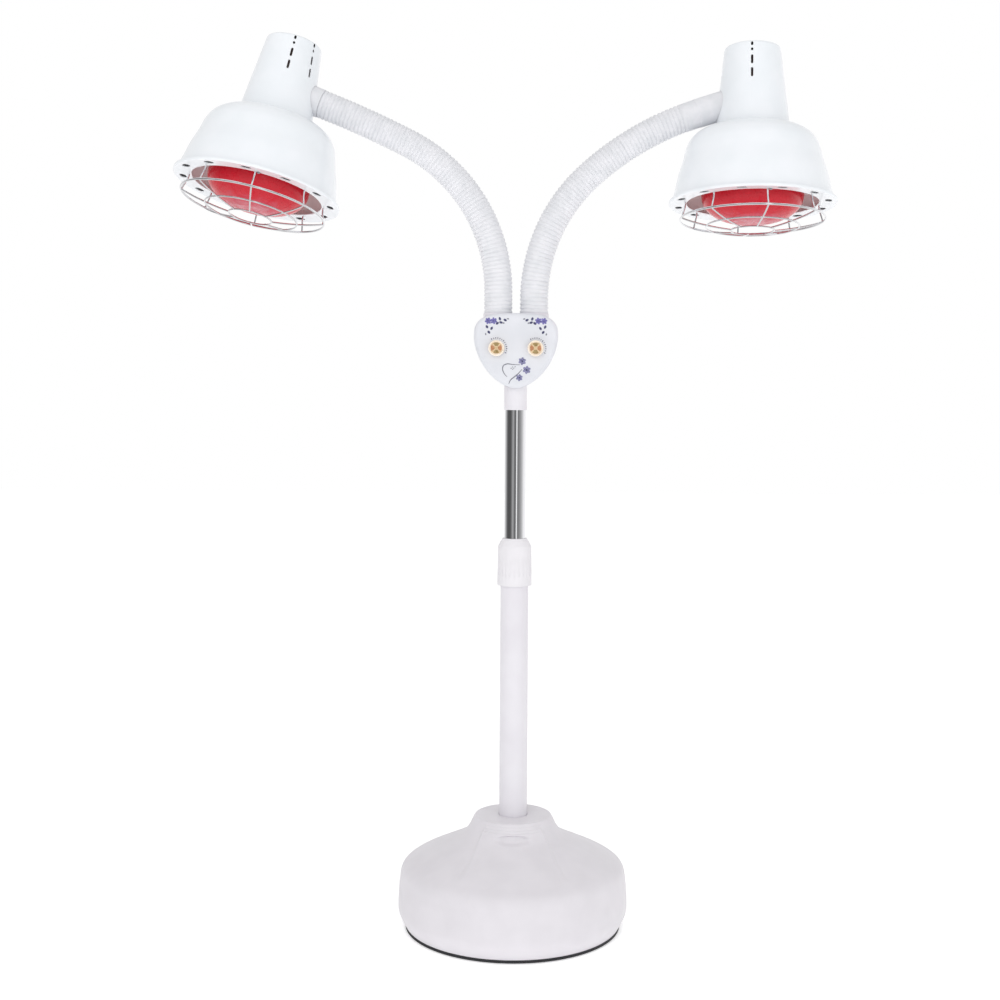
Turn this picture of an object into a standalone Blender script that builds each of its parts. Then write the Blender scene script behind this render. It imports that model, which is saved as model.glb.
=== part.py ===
"""Infrared heat therapy lamp: two bell-shaped heads on ribbed goosenecks, a control box
with two knobs, and a telescopic column on a round weighted base.

Metres, +Z up. The origin is on the floor under the column, +X to the right of someone who
faces the knobs, +Y away from them.
"""
import math

import bmesh
import bpy
from mathutils import Matrix, Vector

for old in list(bpy.data.objects):
    bpy.data.objects.remove(old, do_unlink=True)

# Clearances
GAP = 0.0003
OVERRUN = 0.003

# Counts of sides, by how round a piece has to look
SIDES_BASE = 26
SIDES_TUBE = 16
SIDES_SMALL = 10
SIDES_TINY = 5
SIDES_HEAD = 24
SIDES_CAP = 16
SIDES_INSIDE = 12
SIDES_BULB = 14
SIDES_COLLAR = 16
SIDES_NECK = 8

# Base
COVER_RADIUS = 0.2060
COVER_HEIGHT = 0.1980
COVER_WALL = 0.003
COVER_RIM = 0.0080
COVER_LEDGE = 0.0016
PLATE_HEIGHT = 0.004
PAD_SETBACK = 0.0025
PAD_HEIGHT = 0.004
BALLAST_SETBACK = 0.0265
BALLAST_HEIGHT = 0.030
RECESS_WIDTH = 0.063
RECESS_HEIGHT = 0.016
RECESS_DEPTH = 0.0016
RECESS_ROW = 8
# Rows of the outline that the cover's hidden inner side follows
COVER_INNER_ROWS = (9, 8, 7, 5, 4, 2)
RECESS_STEPS = 8
# The cover's outline from its rim to its collar, as shares of its radius and height
COVER_OUTLINE_SHARES = (
    (0.944, 0.0225),
    (0.972, 0.098),
    (1.000, 0.186),
    (0.990, 0.430),
    (0.963, 0.538),
    (0.869, 0.612),
    (0.723, 0.684),
    (0.568, 0.757),
    (0.432, 0.831),
    (0.384, 0.892),
    (0.352, 0.968),
    (0.318, 1.000),
)

# Column: the mast's radius sets that of the tube it slides in
MAST_RADIUS = 0.0190
GLIDE_ROOM = 0.0028
OUTER_TUBE_WALL = 0.0035
OUTER_TUBE_TOP = 0.640
SOCKET_WALL = 0.004
SOCKET_TOP = 0.130
SOCKET_FLANGE_RADIUS = 0.060
SOCKET_FLANGE_HEIGHT = 0.005
BOLT_CIRCLE = 0.046
BOLT_RADIUS = 0.0040
BOLT_HEAD_RADIUS = 0.0075
BOLT_HEAD_HEIGHT = 0.0030
BOLT_COUNT = 2
INLET_HEIGHT = 0.050
INLET_RADIUS = 0.0065
INLET_BORE = 0.0038
INLET_COLLAR_RADIUS = 0.0100
INLET_REACH = 0.010
INLET_COLLAR_LENGTH = 0.003

# Lock collar and the bush that it squeezes
COLLAR_OVERLAP = 0.028
COLLAR_GRIP_LENGTH = 0.072
COLLAR_CONE_LENGTH = 0.013
COLLAR_WALL = 0.0059
COLLAR_TAPER = 0.0010
COLLAR_LIP = 0.0042
COLLAR_SKIN = 0.0030
FLUTE_COUNT = 16
FLUTE_WIDTH = 0.0028
FLUTE_DEPTH = 0.0010
FLUTE_END = 0.018
COLLET_DROP = 0.0070
COLLET_WALL = 0.0025
COLLET_SLOT = 0.0020
COLLET_SLOT_COUNT = 2

# Mast
MAST_WALL = 0.0020
MAST_FOOT = 0.385
MAST_TOP = 1.010
BUSH_HEIGHT = 0.040
BUSH_STOP = 0.004
SLEEVE_WALL = 0.0016
SLEEVE_DROP = 0.022
SLEEVE_LENGTH = 0.059

# Control box
BOX_OVER_MAST = 0.050
BOX_SIDE_ROOM = 0.0130
BOX_FRONT_ROOM = 0.0080
BOX_RISE = 0.043
BOX_DROP = 0.092
BOX_EDGE = 0.009
BOX_WALL = 0.0030
BOX_RISE_POWER = 3.0
BOX_DROP_POWER = 1.75
BOX_OUTLINE_COUNT = 24
BOX_EDGE_STEPS = 2
HOLLOW_EDGE_STEPS = 1
POST_RADIUS = 0.0045
POST_SPREAD_SHARE = 0.70
POST_DROP_SHARE = 0.10
BOX_SCREW_RADIUS = 0.0016
BOX_SCREW_HEAD_RADIUS = 0.0032
BOX_SCREW_HEAD_HEIGHT = 0.0020
BOX_SCREW_GRIP = 0.012

# Knobs
KNOB_SPACING = 0.070
KNOB_DROP = 0.0205
KNOB_RADIUS = 0.0145
KNOB_DEPTH = 0.0120
KNOB_CAP_RADIUS = 0.0108
KNOB_CAP_DEPTH = 0.0024
KNOB_CAP_STAND = 0.0010
KNOB_LOBES = 4
KNOB_LOBE_SHARE = 0.035
SHAFT_RADIUS = 0.0030
SHAFT_IN_KNOB = 0.0070
SHAFT_IN_DIMMER = 0.0080
DIMMER_RADIUS = 0.0115
DIMMER_DEPTH = 0.0130
BOARD_MARGIN = 0.0120
BOARD_HEIGHT = 0.034
BOARD_THICKNESS = 0.0016
TERMINAL_WIDTH = 0.036
TERMINAL_HEIGHT = 0.016
TERMINAL_DEPTH = 0.014

# Goosenecks
NECK_CREST = 0.0256
RIB_DEPTH = 0.0018
BALL_INSET = 0.0012
BALL_WALL = 0.0076
NECK_SECTIONS = 5
NECK_BEND = math.radians(18.0)
RIB_PITCH = 0.0098
BALL_RINGS = 3
BORE_STEPS = 3
NUT_STAND = 0.0010
NUT_HEIGHT = 0.0320
NUT_WALL = 0.0012
NUT_FLANGE_WIDTH = 0.0032
NUT_FLANGE_DROP = 0.0180
NUT_FLANGE_HEIGHT = 0.0070
NUT_ROOM = 0.0050
SPIGOT_INSET = 0.0011
FERRULE_STAND = 0.0006
FERRULE_REACH = 0.007

# Heads, heights counted from the flange's lower face along the head's own axis
SOCKET_RISE = 0.0516
FLANGE_BAND = 0.0053
FLANGE_INSET = 0.0292
FLANGE_SHEET = 0.0014
FLANGE_RISE = 0.0040
FLANGE_LIP = 0.0090
SLOT_COUNT = 12
SLOT_SETBACK = 0.0120
SLOT_LENGTH = 0.0170
SLOT_WIDTH = 0.0090
SHADE_FOOT_RADIUS = 0.1470
SHADE_HEIGHT = 0.1484
SHADE_WALL = 0.0010
SHADE_HOLE = 0.0520
CAP_FOOT_RADIUS = 0.0662
CAP_TOP_RADIUS = 0.0506
CAP_HEIGHT = 0.1396
CAP_WALL = 0.0012
CAP_EDGE = 0.0050
# The shade's outline above its foot, as shares of its foot radius and of its height
SHADE_OUTLINE_SHARES = (
    (0.958, 0.158),
    (0.908, 0.354),
    (0.847, 0.549),
    (0.792, 0.745),
    (0.728, 0.842),
    (0.622, 0.922),
    (0.462, 0.990),
    (0.448, 1.000),
)
# Rows of the outline that the shade's inner side follows
SHADE_INNER_ROWS = (6, 4, 2)
# Slotted columns of the cap: turn from the neck's side, in degrees
VENT_TURNS = (-80.0, -36.0, 80.0, 180.0)
# Each slot of a column, from the cap's top down: start and length
VENT_TOP_GAP = 0.0045
VENT_LENGTHS = (0.0075, 0.0075, 0.0175, 0.0175)
VENT_BRIDGE = 0.0035
VENT_WIDTH = 0.0050

# Lamp inside the head
BULB_RADIUS = 0.0917
BULB_LOW = -0.0330
BULB_LENGTH = 0.1890
BULB_WALL = 0.0012
# The bulb's outline from its front, as shares of its radius and of its height
BULB_OUTLINE_SHARES = (
    (0.360, 0.008),
    (0.660, 0.045),
    (0.900, 0.125),
    (1.000, 0.260),
    (0.930, 0.400),
    (0.700, 0.610),
    (0.420, 0.800),
    (0.230, 0.920),
)
# Rows of the outline that the bulb's inner side follows
BULB_INNER_ROWS = (7, 5, 3, 1)
BULB_BASE_RADIUS = 0.0150
BULB_BASE_BORE = 0.0100
BULB_BASE_HEIGHT = 0.0286
BULB_BASE_GAP = 0.0004
HOLDER_WALL = 0.0090
HOLDER_GAP = 0.0040
HOLDER_BORE_DEPTH = 0.0250
HOLDER_LENGTH = 0.0450
STEM_RADIUS = 0.0070

# Wire guard
WIRE_RADIUS = 0.0020
THIN_WIRE_RADIUS = 0.0016
GUARD_STAND = 0.0162
GUARD_ROOM = 0.0140
GUARD_SEAT = 0.0037
# The three rings, as shares of the guard's radius and of its depth
GUARD_RADIUS_SHARES = (1.0, 0.642, 0.2985)
GUARD_DROP_SHARES = (0.5745, 0.851, 1.0)
GUARD_SPOKES = 8
GUARD_RING_SIDES = (24, 16, 8)
WIRE_SIDES = 4
GUARD_SCREW_RADIUS = 0.0014
GUARD_SCREW_HEAD_RADIUS = 0.0032
GUARD_SCREW_HEAD_HEIGHT = 0.0018
GUARD_SCREW_COUNT = 2

# Each side: its sign on X, the neck's straight foot, its two arcs (radius, turn), the
# straight run at its end, the sleeve that shows, and the head's roll, pitch and spoke turn
LEFT = {
    "name": "left", "sign": -1.0, "straight": 0.0390, "arc_one": 0.300, "turn_one": math.radians(63.0),
    "arc_two": 1.700, "turn_two": math.radians(5.7), "run": 0.0796, "sleeve": 0.014,
    "roll": math.radians(12.0), "pitch": math.radians(10.0), "spokes": math.radians(0.0),
    "slots": math.radians(0.0),
}
RIGHT = {
    "name": "right", "sign": 1.0, "straight": 0.0260, "arc_one": 0.305, "turn_one": math.radians(47.0),
    "arc_two": 0.520, "turn_two": math.radians(25.0), "run": 0.1077, "sleeve": 0.046,
    "roll": math.radians(0.5), "pitch": math.radians(5.0), "spokes": math.radians(15.0),
    "slots": math.radians(13.0),
}

# Base and column, as they follow from the values above
PLATE_RADIUS = COVER_RADIUS * COVER_OUTLINE_SHARES[0][0] - COVER_RIM
PAD_RADIUS = PLATE_RADIUS - PAD_SETBACK
BALLAST_RADIUS = PLATE_RADIUS - BALLAST_SETBACK
PLATE_LOW = PAD_HEIGHT + GAP
PLATE_TOP = PLATE_LOW + PLATE_HEIGHT
BALLAST_LOW = PLATE_TOP + GAP
BALLAST_TOP = BALLAST_LOW + BALLAST_HEIGHT
SOCKET_FLANGE_TOP = BALLAST_TOP + GAP + SOCKET_FLANGE_HEIGHT
OUTER_BORE = MAST_RADIUS + GLIDE_ROOM
OUTER_TUBE_RADIUS = OUTER_BORE + OUTER_TUBE_WALL
SOCKET_RADIUS = OUTER_TUBE_RADIUS + SOCKET_WALL
COLLAR_FOOT = OUTER_TUBE_TOP - COLLAR_OVERLAP
COLLAR_SHOULDER = COLLAR_FOOT + COLLAR_GRIP_LENGTH
COLLAR_TOP = COLLAR_SHOULDER + COLLAR_CONE_LENGTH
COLLAR_FOOT_RADIUS = OUTER_TUBE_RADIUS + COLLAR_WALL
COLLAR_SHOULDER_RADIUS = COLLAR_FOOT_RADIUS - COLLAR_TAPER
COLLAR_TOP_RADIUS = MAST_RADIUS + COLLAR_LIP
COLLET_TOP = COLLAR_TOP - COLLET_DROP
COLLET_RADIUS = MAST_RADIUS + COLLET_WALL
SLEEVE_RADIUS = MAST_RADIUS + SLEEVE_WALL
SLEEVE_TOP = MAST_TOP - SLEEVE_DROP
SLEEVE_FOOT = SLEEVE_TOP - SLEEVE_LENGTH

# Necks and control box, as they follow
NECK_ROOT = NECK_CREST - RIB_DEPTH
NECK_BALL = NECK_ROOT - BALL_INSET
NECK_BORE = NECK_BALL - BALL_WALL
SPIGOT_RADIUS = NECK_BALL - SPIGOT_INSET
FERRULE_RADIUS = NECK_CREST + FERRULE_STAND
LIP_SETBACK = NECK_CREST * math.tan(NECK_BEND) + GAP
NUT_RADIUS = NECK_CREST + NUT_WALL
NUT_FLANGE_RADIUS = NUT_RADIUS + NUT_FLANGE_WIDTH
NECK_OFFSET = NUT_FLANGE_RADIUS + NUT_ROOM / 2.0
BOX_HALF_WIDTH = NECK_OFFSET + NUT_FLANGE_RADIUS + BOX_SIDE_ROOM
BOX_DEPTH = 2.0 * (NUT_FLANGE_RADIUS + BOX_FRONT_ROOM)
BOX_CENTRE = MAST_TOP + BOX_OVER_MAST
NUT_LIP = BOX_CENTRE + BOX_RISE + NUT_STAND
NUT_FOOT = NUT_LIP - NUT_HEIGHT
NUT_FLANGE_TOP = NUT_LIP - NUT_FLANGE_DROP
KNOB_HEIGHT = BOX_CENTRE - KNOB_DROP
KNOB_OFFSET = KNOB_SPACING / 2.0
BOARD_WIDTH = KNOB_SPACING + 2.0 * BOARD_MARGIN

# Heads, as they follow
HEAD_SOCKET = SHADE_HEIGHT + SOCKET_RISE
CAP_TOP = SHADE_HEIGHT + CAP_HEIGHT
FLANGE_RADIUS = SHADE_FOOT_RADIUS + FLANGE_BAND
FLANGE_MOUTH = SHADE_FOOT_RADIUS - FLANGE_INSET
SLOT_CIRCLE = SHADE_FOOT_RADIUS - SLOT_SETBACK
BULB_TOP = BULB_LOW + BULB_LENGTH
HOLDER_RADIUS = BULB_BASE_RADIUS + HOLDER_WALL
HOLDER_LOW = BULB_TOP + HOLDER_GAP
HOLDER_FLOOR = HOLDER_LOW + HOLDER_BORE_DEPTH
HOLDER_HIGH = HOLDER_LOW + HOLDER_LENGTH
GUARD_RADIUS = FLANGE_MOUTH + GUARD_STAND
GUARD_DEPTH = GUARD_ROOM - BULB_LOW
GUARD_FOOT_RADIUS = FLANGE_MOUTH + GUARD_SEAT

# Finishes: colour in linear values, roughness, metallic
FINISHES = {
    "white_moulded": ((0.78, 0.77, 0.79), 0.35, 0.0),
    "white_paint": ((0.80, 0.80, 0.83), 0.30, 0.0),
    "head_paint": ((0.86, 0.89, 0.93), 0.30, 0.0),
    "ribbed_sleeve": ((0.74, 0.74, 0.76), 0.55, 0.0),
    "chrome": ((0.80, 0.80, 0.81), 0.08, 1.0),
    "steel": ((0.55, 0.56, 0.58), 0.35, 1.0),
    "iron": ((0.07, 0.07, 0.08), 0.70, 0.6),
    "rubber": ((0.02, 0.02, 0.02), 0.80, 0.0),
    "nylon": ((0.60, 0.60, 0.58), 0.50, 0.0),
    "black_plastic": ((0.03, 0.03, 0.03), 0.45, 0.0),
    "board_green": ((0.02, 0.18, 0.07), 0.50, 0.0),
    "ivory": ((0.87, 0.78, 0.62), 0.35, 0.0),
    "gold": ((0.62, 0.28, 0.08), 0.30, 1.0),
    "brass": ((0.75, 0.55, 0.25), 0.30, 1.0),
    "ceramic": ((0.85, 0.83, 0.78), 0.30, 0.0),
    "red_glass": ((0.55, 0.01, 0.02), 0.10, 0.0),
}


# Helpers: materials, parents and objects

def make_material(name, finish):
    """A Principled material of its own for one piece."""
    colour, roughness, metallic = FINISHES[finish]
    material = bpy.data.materials.new(name)
    material.use_nodes = True
    shader = material.node_tree.nodes["Principled BSDF"]
    shader.inputs["Base Color"].default_value = (*colour, 1.0)
    shader.inputs["Roughness"].default_value = roughness
    shader.inputs["Metallic"].default_value = metallic
    return material


def make_pivot(name, matrix):
    """An empty on a joint's axis, which carries the pieces of that body."""
    pivot = bpy.data.objects.new(name, None)
    pivot.empty_display_size = BOX_EDGE
    pivot.matrix_world = matrix
    bpy.context.scene.collection.objects.link(pivot)
    return pivot, matrix


def add_object(name, bm, finish, body, world=False, smooth_angle=40.0):
    """Turn a bmesh into an object on its body. World points are brought to the pivot."""
    pivot, matrix = body
    if world:
        bm.transform(matrix.inverted())
    bmesh.ops.recalc_face_normals(bm, faces=bm.faces)
    mesh = bpy.data.meshes.new(name)
    bm.to_mesh(mesh)
    bm.free()
    mesh.shade_smooth()
    mesh.set_sharp_from_angle(angle=math.radians(smooth_angle))
    obj = bpy.data.objects.new(name, mesh)
    bpy.context.scene.collection.objects.link(obj)
    obj.parent = pivot
    if finish is None:
        obj.hide_render = True
        obj.display_type = "WIRE"
    else:
        mesh.materials.append(make_material(name, finish))
    return obj


def boolean(obj, cutter, operation="DIFFERENCE"):
    """Cut a piece with a hidden cutter, join them, or keep what they share."""
    modifier = obj.modifiers.new(cutter.name, "BOOLEAN")
    modifier.operation = operation
    modifier.solver = "EXACT"
    modifier.object = cutter


# Helpers: turned and swept shapes

def clear_radius(radius, sides):
    """Corner radius of a hole whose flats clear a round piece of this radius."""
    return (radius + GAP) / math.cos(math.pi / sides)


def ring_points(radius, height, sides, phase=0.0):
    """Points of one level ring round the Z axis."""
    step = 2.0 * math.pi / sides
    return [
        Vector((radius * math.cos(phase + i * step), radius * math.sin(phase + i * step), height))
        for i in range(sides)
    ]


def skin(bm, rings, closed):
    """Join rings of equal count by quads. Open stacks get a flat cap at each end."""
    sides = len(rings[0])
    loops = [[bm.verts.new(point) for point in ring] for ring in rings]
    pairs = list(zip(loops, loops[1:]))
    if closed:
        pairs.append((loops[-1], loops[0]))
    for low, high in pairs:
        for i in range(sides):
            j = (i + 1) % sides
            bm.faces.new((low[i], low[j], high[j], high[i]))
    if not closed:
        bm.faces.new(loops[0])
        bm.faces.new(loops[-1])


def turned(outline, sides, closed, matrix=None, bm=None, phase=0.0):
    """A turned body: outline is (radius, height) points. Closed outlines have a bore."""
    bm = bm or bmesh.new()
    rings = [ring_points(radius, height, sides, phase) for radius, height in outline]
    if matrix is not None:
        rings = [[matrix @ point for point in ring] for ring in rings]
    skin(bm, rings, closed)
    return bm


def rod(radius, low, high, sides, matrix=None, bm=None, phase=0.0):
    """A plain round bar along Z."""
    return turned([(radius, low), (radius, high)], sides, False, matrix, bm, phase)


def tube(radius, bore, low, high, sides, matrix=None, bm=None, phase=0.0):
    """A plain round tube along Z. The bore is the clear radius of its flats."""
    inner = bore / math.cos(math.pi / sides)
    outline = [(radius, low), (radius, high), (inner, high), (inner, low)]
    return turned(outline, sides, True, matrix, bm, phase)


def offset_outline(outline, wall):
    """The outline moved inwards by a wall, for an outline that runs up its outer side."""
    inner = []
    for i, (radius, height) in enumerate(outline):
        before = outline[max(i - 1, 0)]
        after = outline[min(i + 1, len(outline) - 1)]
        along = Vector((after[0] - before[0], after[1] - before[1])).normalized()
        inner.append((radius - wall * along.y, height + wall * along.x))
    return inner


def box_at(bm, low, high, matrix=None):
    """An axis-aligned block between two corners."""
    corners = []
    for z in (low[2], high[2]):
        for x, y in ((low[0], low[1]), (high[0], low[1]), (high[0], high[1]), (low[0], high[1])):
            corners.append(Vector((x, y, z)))
    if matrix is not None:
        corners = [matrix @ corner for corner in corners]
    skin(bm, [corners[:4], corners[4:]], False)
    return bm


def around(count, radius, height=0.0, phase=0.0):
    """Frames spread round the Z axis, their X axis pointing out."""
    frames = []
    for i in range(count):
        turn = Matrix.Rotation(phase + 2.0 * math.pi * i / count, 4, "Z")
        frames.append(turn @ Matrix.Translation((radius, 0.0, height)))
    return frames


def facing(direction, point):
    """A frame at a point with its Z axis along a direction."""
    turn = Vector(direction).to_track_quat("Z", "Y").to_matrix().to_4x4()
    return Matrix.Translation(point) @ turn




# Stand

def build_stand():
    stand = make_pivot("stand_frame", Matrix.Identity(4))

    bolt_holes = bmesh.new()
    seat = PLATE_LOW - GAP
    bolt_top = SOCKET_FLANGE_TOP - BOLT_RADIUS / 2.0
    for i, frame in enumerate(around(BOLT_COUNT, BOLT_CIRCLE)):
        shape = [
            (BOLT_HEAD_RADIUS, seat - BOLT_HEAD_HEIGHT),
            (BOLT_HEAD_RADIUS, seat),
            (BOLT_RADIUS, seat),
            (BOLT_RADIUS, bolt_top),
        ]
        bolt = turned(shape, SIDES_TINY, False, frame)
        add_object("base_bolt_%d" % (i + 1), bolt, "steel", stand)
        hole = [
            (clear_radius(BOLT_HEAD_RADIUS, SIDES_TINY), -OVERRUN),
            (clear_radius(BOLT_HEAD_RADIUS, SIDES_TINY), PAD_HEIGHT + GAP / 2.0),
            (clear_radius(BOLT_RADIUS, SIDES_TINY), PAD_HEIGHT + GAP / 2.0),
            (clear_radius(BOLT_RADIUS, SIDES_TINY), SOCKET_FLANGE_TOP + OVERRUN),
        ]
        turned(hole, SIDES_TINY, False, frame, bolt_holes)
    bolt_cutter = add_object("cut_bolts", bolt_holes, None, stand)

    pad = add_object("floor_pad", rod(PAD_RADIUS, 0.0, PAD_HEIGHT, SIDES_BASE), "rubber", stand)
    boolean(pad, bolt_cutter)
    plate = add_object("base_plate", rod(PLATE_RADIUS, PLATE_LOW, PLATE_TOP, SIDES_BASE), "steel", stand)
    boolean(plate, bolt_cutter)
    ballast_bm = tube(BALLAST_RADIUS, SOCKET_RADIUS + GAP, BALLAST_LOW, BALLAST_TOP, SIDES_TUBE)
    ballast = add_object("base_ballast", ballast_bm, "iron", stand)
    boolean(ballast, bolt_cutter)

    socket_bore = clear_radius(OUTER_TUBE_RADIUS, SIDES_INSIDE)
    socket_outline = [
        (SOCKET_RADIUS, BALLAST_LOW),
        (SOCKET_RADIUS, BALLAST_TOP + GAP),
        (SOCKET_FLANGE_RADIUS, BALLAST_TOP + GAP),
        (SOCKET_FLANGE_RADIUS, SOCKET_FLANGE_TOP),
        (SOCKET_RADIUS, SOCKET_FLANGE_TOP),
        (SOCKET_RADIUS, SOCKET_TOP),
        (socket_bore, SOCKET_TOP),
        (socket_bore, BALLAST_LOW),
    ]
    socket = add_object("column_socket", turned(socket_outline, SIDES_INSIDE, True), "steel", stand)
    boolean(socket, bolt_cutter)

    column = tube(OUTER_TUBE_RADIUS, OUTER_BORE, BALLAST_LOW, OUTER_TUBE_TOP, SIDES_TUBE)
    add_object("outer_tube", column, "white_paint", stand)
    build_cover(stand)
    build_collet(stand)
    return stand


def cover_outline():
    """The cover's outer outline, up its side and in over its collar."""
    return [(r * COVER_RADIUS, h * COVER_HEIGHT) for r, h in COVER_OUTLINE_SHARES]


def build_cover(stand):
    outer = cover_outline()
    inner = offset_outline(outer, COVER_WALL)
    hole = clear_radius(OUTER_TUBE_RADIUS, SIDES_BASE)
    rim_bore = clear_radius(PLATE_RADIUS, SIDES_BASE)
    ledge = PLATE_TOP + COVER_LEDGE
    collar_floor = COVER_HEIGHT - COVER_WALL
    section = list(outer)
    section.append((hole, COVER_HEIGHT))
    section.append((hole, collar_floor))
    section.append((inner[-1][0], collar_floor))
    section.extend(inner[i] for i in COVER_INNER_ROWS)
    section.append((rim_bore, ledge))
    section.append((rim_bore, outer[0][1]))
    cover = add_object("base_cover", turned(section, SIDES_BASE, True), "white_moulded", stand)

    boolean(cover, add_object("cut_recess", recess_shape(outer), None, stand))

    # Inlet gland at the back
    gland_frame = facing((0.0, 1.0, 0.0), (0.0, COVER_RADIUS, INLET_HEIGHT))
    hole_radius = clear_radius(INLET_RADIUS, SIDES_SMALL)
    hole = rod(hole_radius, -INLET_REACH - OVERRUN, INLET_REACH, SIDES_SMALL, gland_frame)
    boolean(cover, add_object("cut_inlet", hole, None, stand))
    bore = INLET_BORE / math.cos(math.pi / SIDES_SMALL)
    gland = [
        (INLET_RADIUS, -INLET_REACH),
        (INLET_RADIUS, GAP),
        (INLET_COLLAR_RADIUS, GAP),
        (INLET_COLLAR_RADIUS, GAP + INLET_COLLAR_LENGTH),
        (INLET_RADIUS, INLET_REACH),
        (bore, INLET_REACH),
        (bore, -INLET_REACH),
    ]
    add_object("cable_inlet", turned(gland, SIDES_SMALL, True, gland_frame), "black_plastic", stand)


def recess_shape(outer):
    """Oval pocket on the front of the cover's collar, its floor following the collar."""
    low, high = Vector(outer[RECESS_ROW]), Vector(outer[RECESS_ROW + 1])
    middle = (low + high) / 2.0
    up = (high - low).normalized()
    away = Vector((up.y, -up.x))
    rings = []
    for i in range(RECESS_STEPS):
        share = -math.cos(math.pi * (i + 0.5) / RECESS_STEPS)
        turn = share * RECESS_WIDTH / 2.0 / middle.x - math.pi / 2.0
        tall = RECESS_HEIGHT / 2.0 * math.sqrt(1.0 - share ** 2)
        ring = []
        for rise, out in ((-tall, -RECESS_DEPTH), (tall, -RECESS_DEPTH), (tall, OVERRUN), (-tall, OVERRUN)):
            place = middle + up * rise + away * out
            ring.append(Vector((place.x * math.cos(turn), place.x * math.sin(turn), place.y)))
        rings.append(ring)
    bm = bmesh.new()
    skin(bm, rings, False)
    return bm


def build_collet(stand):
    """Split bush on the column's rim, inside the lock collar."""
    low = OUTER_TUBE_TOP + GAP
    skirt = low - (COLLAR_TOP - COLLET_TOP)
    bore = clear_radius(MAST_RADIUS, SIDES_INSIDE)
    outline = [
        (OUTER_BORE - GAP, skirt),
        (OUTER_BORE - GAP, low),
        (OUTER_TUBE_RADIUS, low),
        (COLLET_RADIUS, COLLET_TOP),
        (bore, COLLET_TOP),
        (bore, skirt),
    ]
    collet = add_object("collet", turned(outline, SIDES_INSIDE, True), "nylon", stand)
    slots = bmesh.new()
    for frame in around(COLLET_SLOT_COUNT, 0.0, phase=math.pi / SIDES_INSIDE):
        box_at(slots, (0.0, -COLLET_SLOT / 2.0, low + COLLET_SLOT),
               (COLLAR_FOOT_RADIUS, COLLET_SLOT / 2.0, COLLET_TOP + OVERRUN), frame)
    boolean(collet, add_object("cut_collet", slots, None, stand))


# Lock collar

def build_lock_collar():
    body = make_pivot("lock_collar_frame", Matrix.Translation((0.0, 0.0, COLLAR_FOOT)))
    shoulder = COLLAR_SHOULDER - COLLAR_FOOT
    top = COLLAR_TOP - COLLAR_FOOT
    bore = clear_radius(OUTER_TUBE_RADIUS, SIDES_COLLAR)
    mast_bore = clear_radius(MAST_RADIUS, SIDES_COLLAR)
    collet_top = COLLET_TOP + GAP - COLLAR_FOOT
    collet_seat = clear_radius(COLLET_RADIUS, SIDES_COLLAR)
    rim = COLLAR_SKIN / 3.0
    outline = [
        (COLLAR_FOOT_RADIUS - rim, 0.0),
        (COLLAR_FOOT_RADIUS, rim),
        (COLLAR_SHOULDER_RADIUS, shoulder),
        (COLLAR_TOP_RADIUS + rim, top - COLLAR_SKIN),
        (COLLAR_TOP_RADIUS, top),
        (mast_bore, top),
        (mast_bore, collet_top),
        (collet_seat, collet_top),
        (bore, OUTER_TUBE_TOP - COLLAR_FOOT),
        (bore, 0.0),
    ]
    collar = add_object("lock_collar", turned(outline, SIDES_COLLAR, True), "white_moulded", body)
    flutes = bmesh.new()
    for frame in around(FLUTE_COUNT, COLLAR_SHOULDER_RADIUS, phase=math.pi / SIDES_COLLAR):
        box_at(flutes, (-FLUTE_DEPTH, -FLUTE_WIDTH / 2.0, FLUTE_END),
               (OVERRUN, FLUTE_WIDTH / 2.0, shoulder - FLUTE_END), frame)
    boolean(collar, add_object("cut_flutes", flutes, None, body))


# Mast and control box

def box_outline(inset):
    """The box's front outline, drawn in by an inset, as points in X and Z."""
    points = []
    wide = BOX_HALF_WIDTH - inset
    for i in range(BOX_OUTLINE_COUNT):
        turn = 2.0 * math.pi * (i + 0.5) / BOX_OUTLINE_COUNT
        across, up = math.cos(turn), math.sin(turn)
        reach = BOX_RISE if up > 0.0 else BOX_DROP
        power = BOX_RISE_POWER if up > 0.0 else BOX_DROP_POWER
        x = math.copysign(abs(across) ** (2.0 / power), across) * wide
        z = math.copysign(abs(up) ** (2.0 / power), up) * (reach - inset)
        points.append((x, BOX_CENTRE + z))
    return points


def pillow(inset, edge, steps):
    """The box's outline thickened along Y, with rounded front and back edges."""
    half = BOX_DEPTH / 2.0 - inset
    rings = []
    levels = []
    for k in range(steps + 1):
        turn = math.pi / 2.0 * k / steps
        levels.append((edge * (1.0 - math.sin(turn)), half - edge * (1.0 - math.cos(turn))))
    for drawn_in, y in levels:
        rings.append([Vector((x, -y, z)) for x, z in box_outline(inset + drawn_in)])
    for drawn_in, y in reversed(levels):
        rings.append([Vector((x, y, z)) for x, z in box_outline(inset + drawn_in)])
    bm = bmesh.new()
    skin(bm, rings, False)
    return bm


def post_places():
    """X and Z of the two screw posts."""
    height = BOX_CENTRE - POST_DROP_SHARE * BOX_DROP
    return [(sign * POST_SPREAD_SHARE * BOX_HALF_WIDTH, height) for sign in (-1.0, 1.0)]


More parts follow.
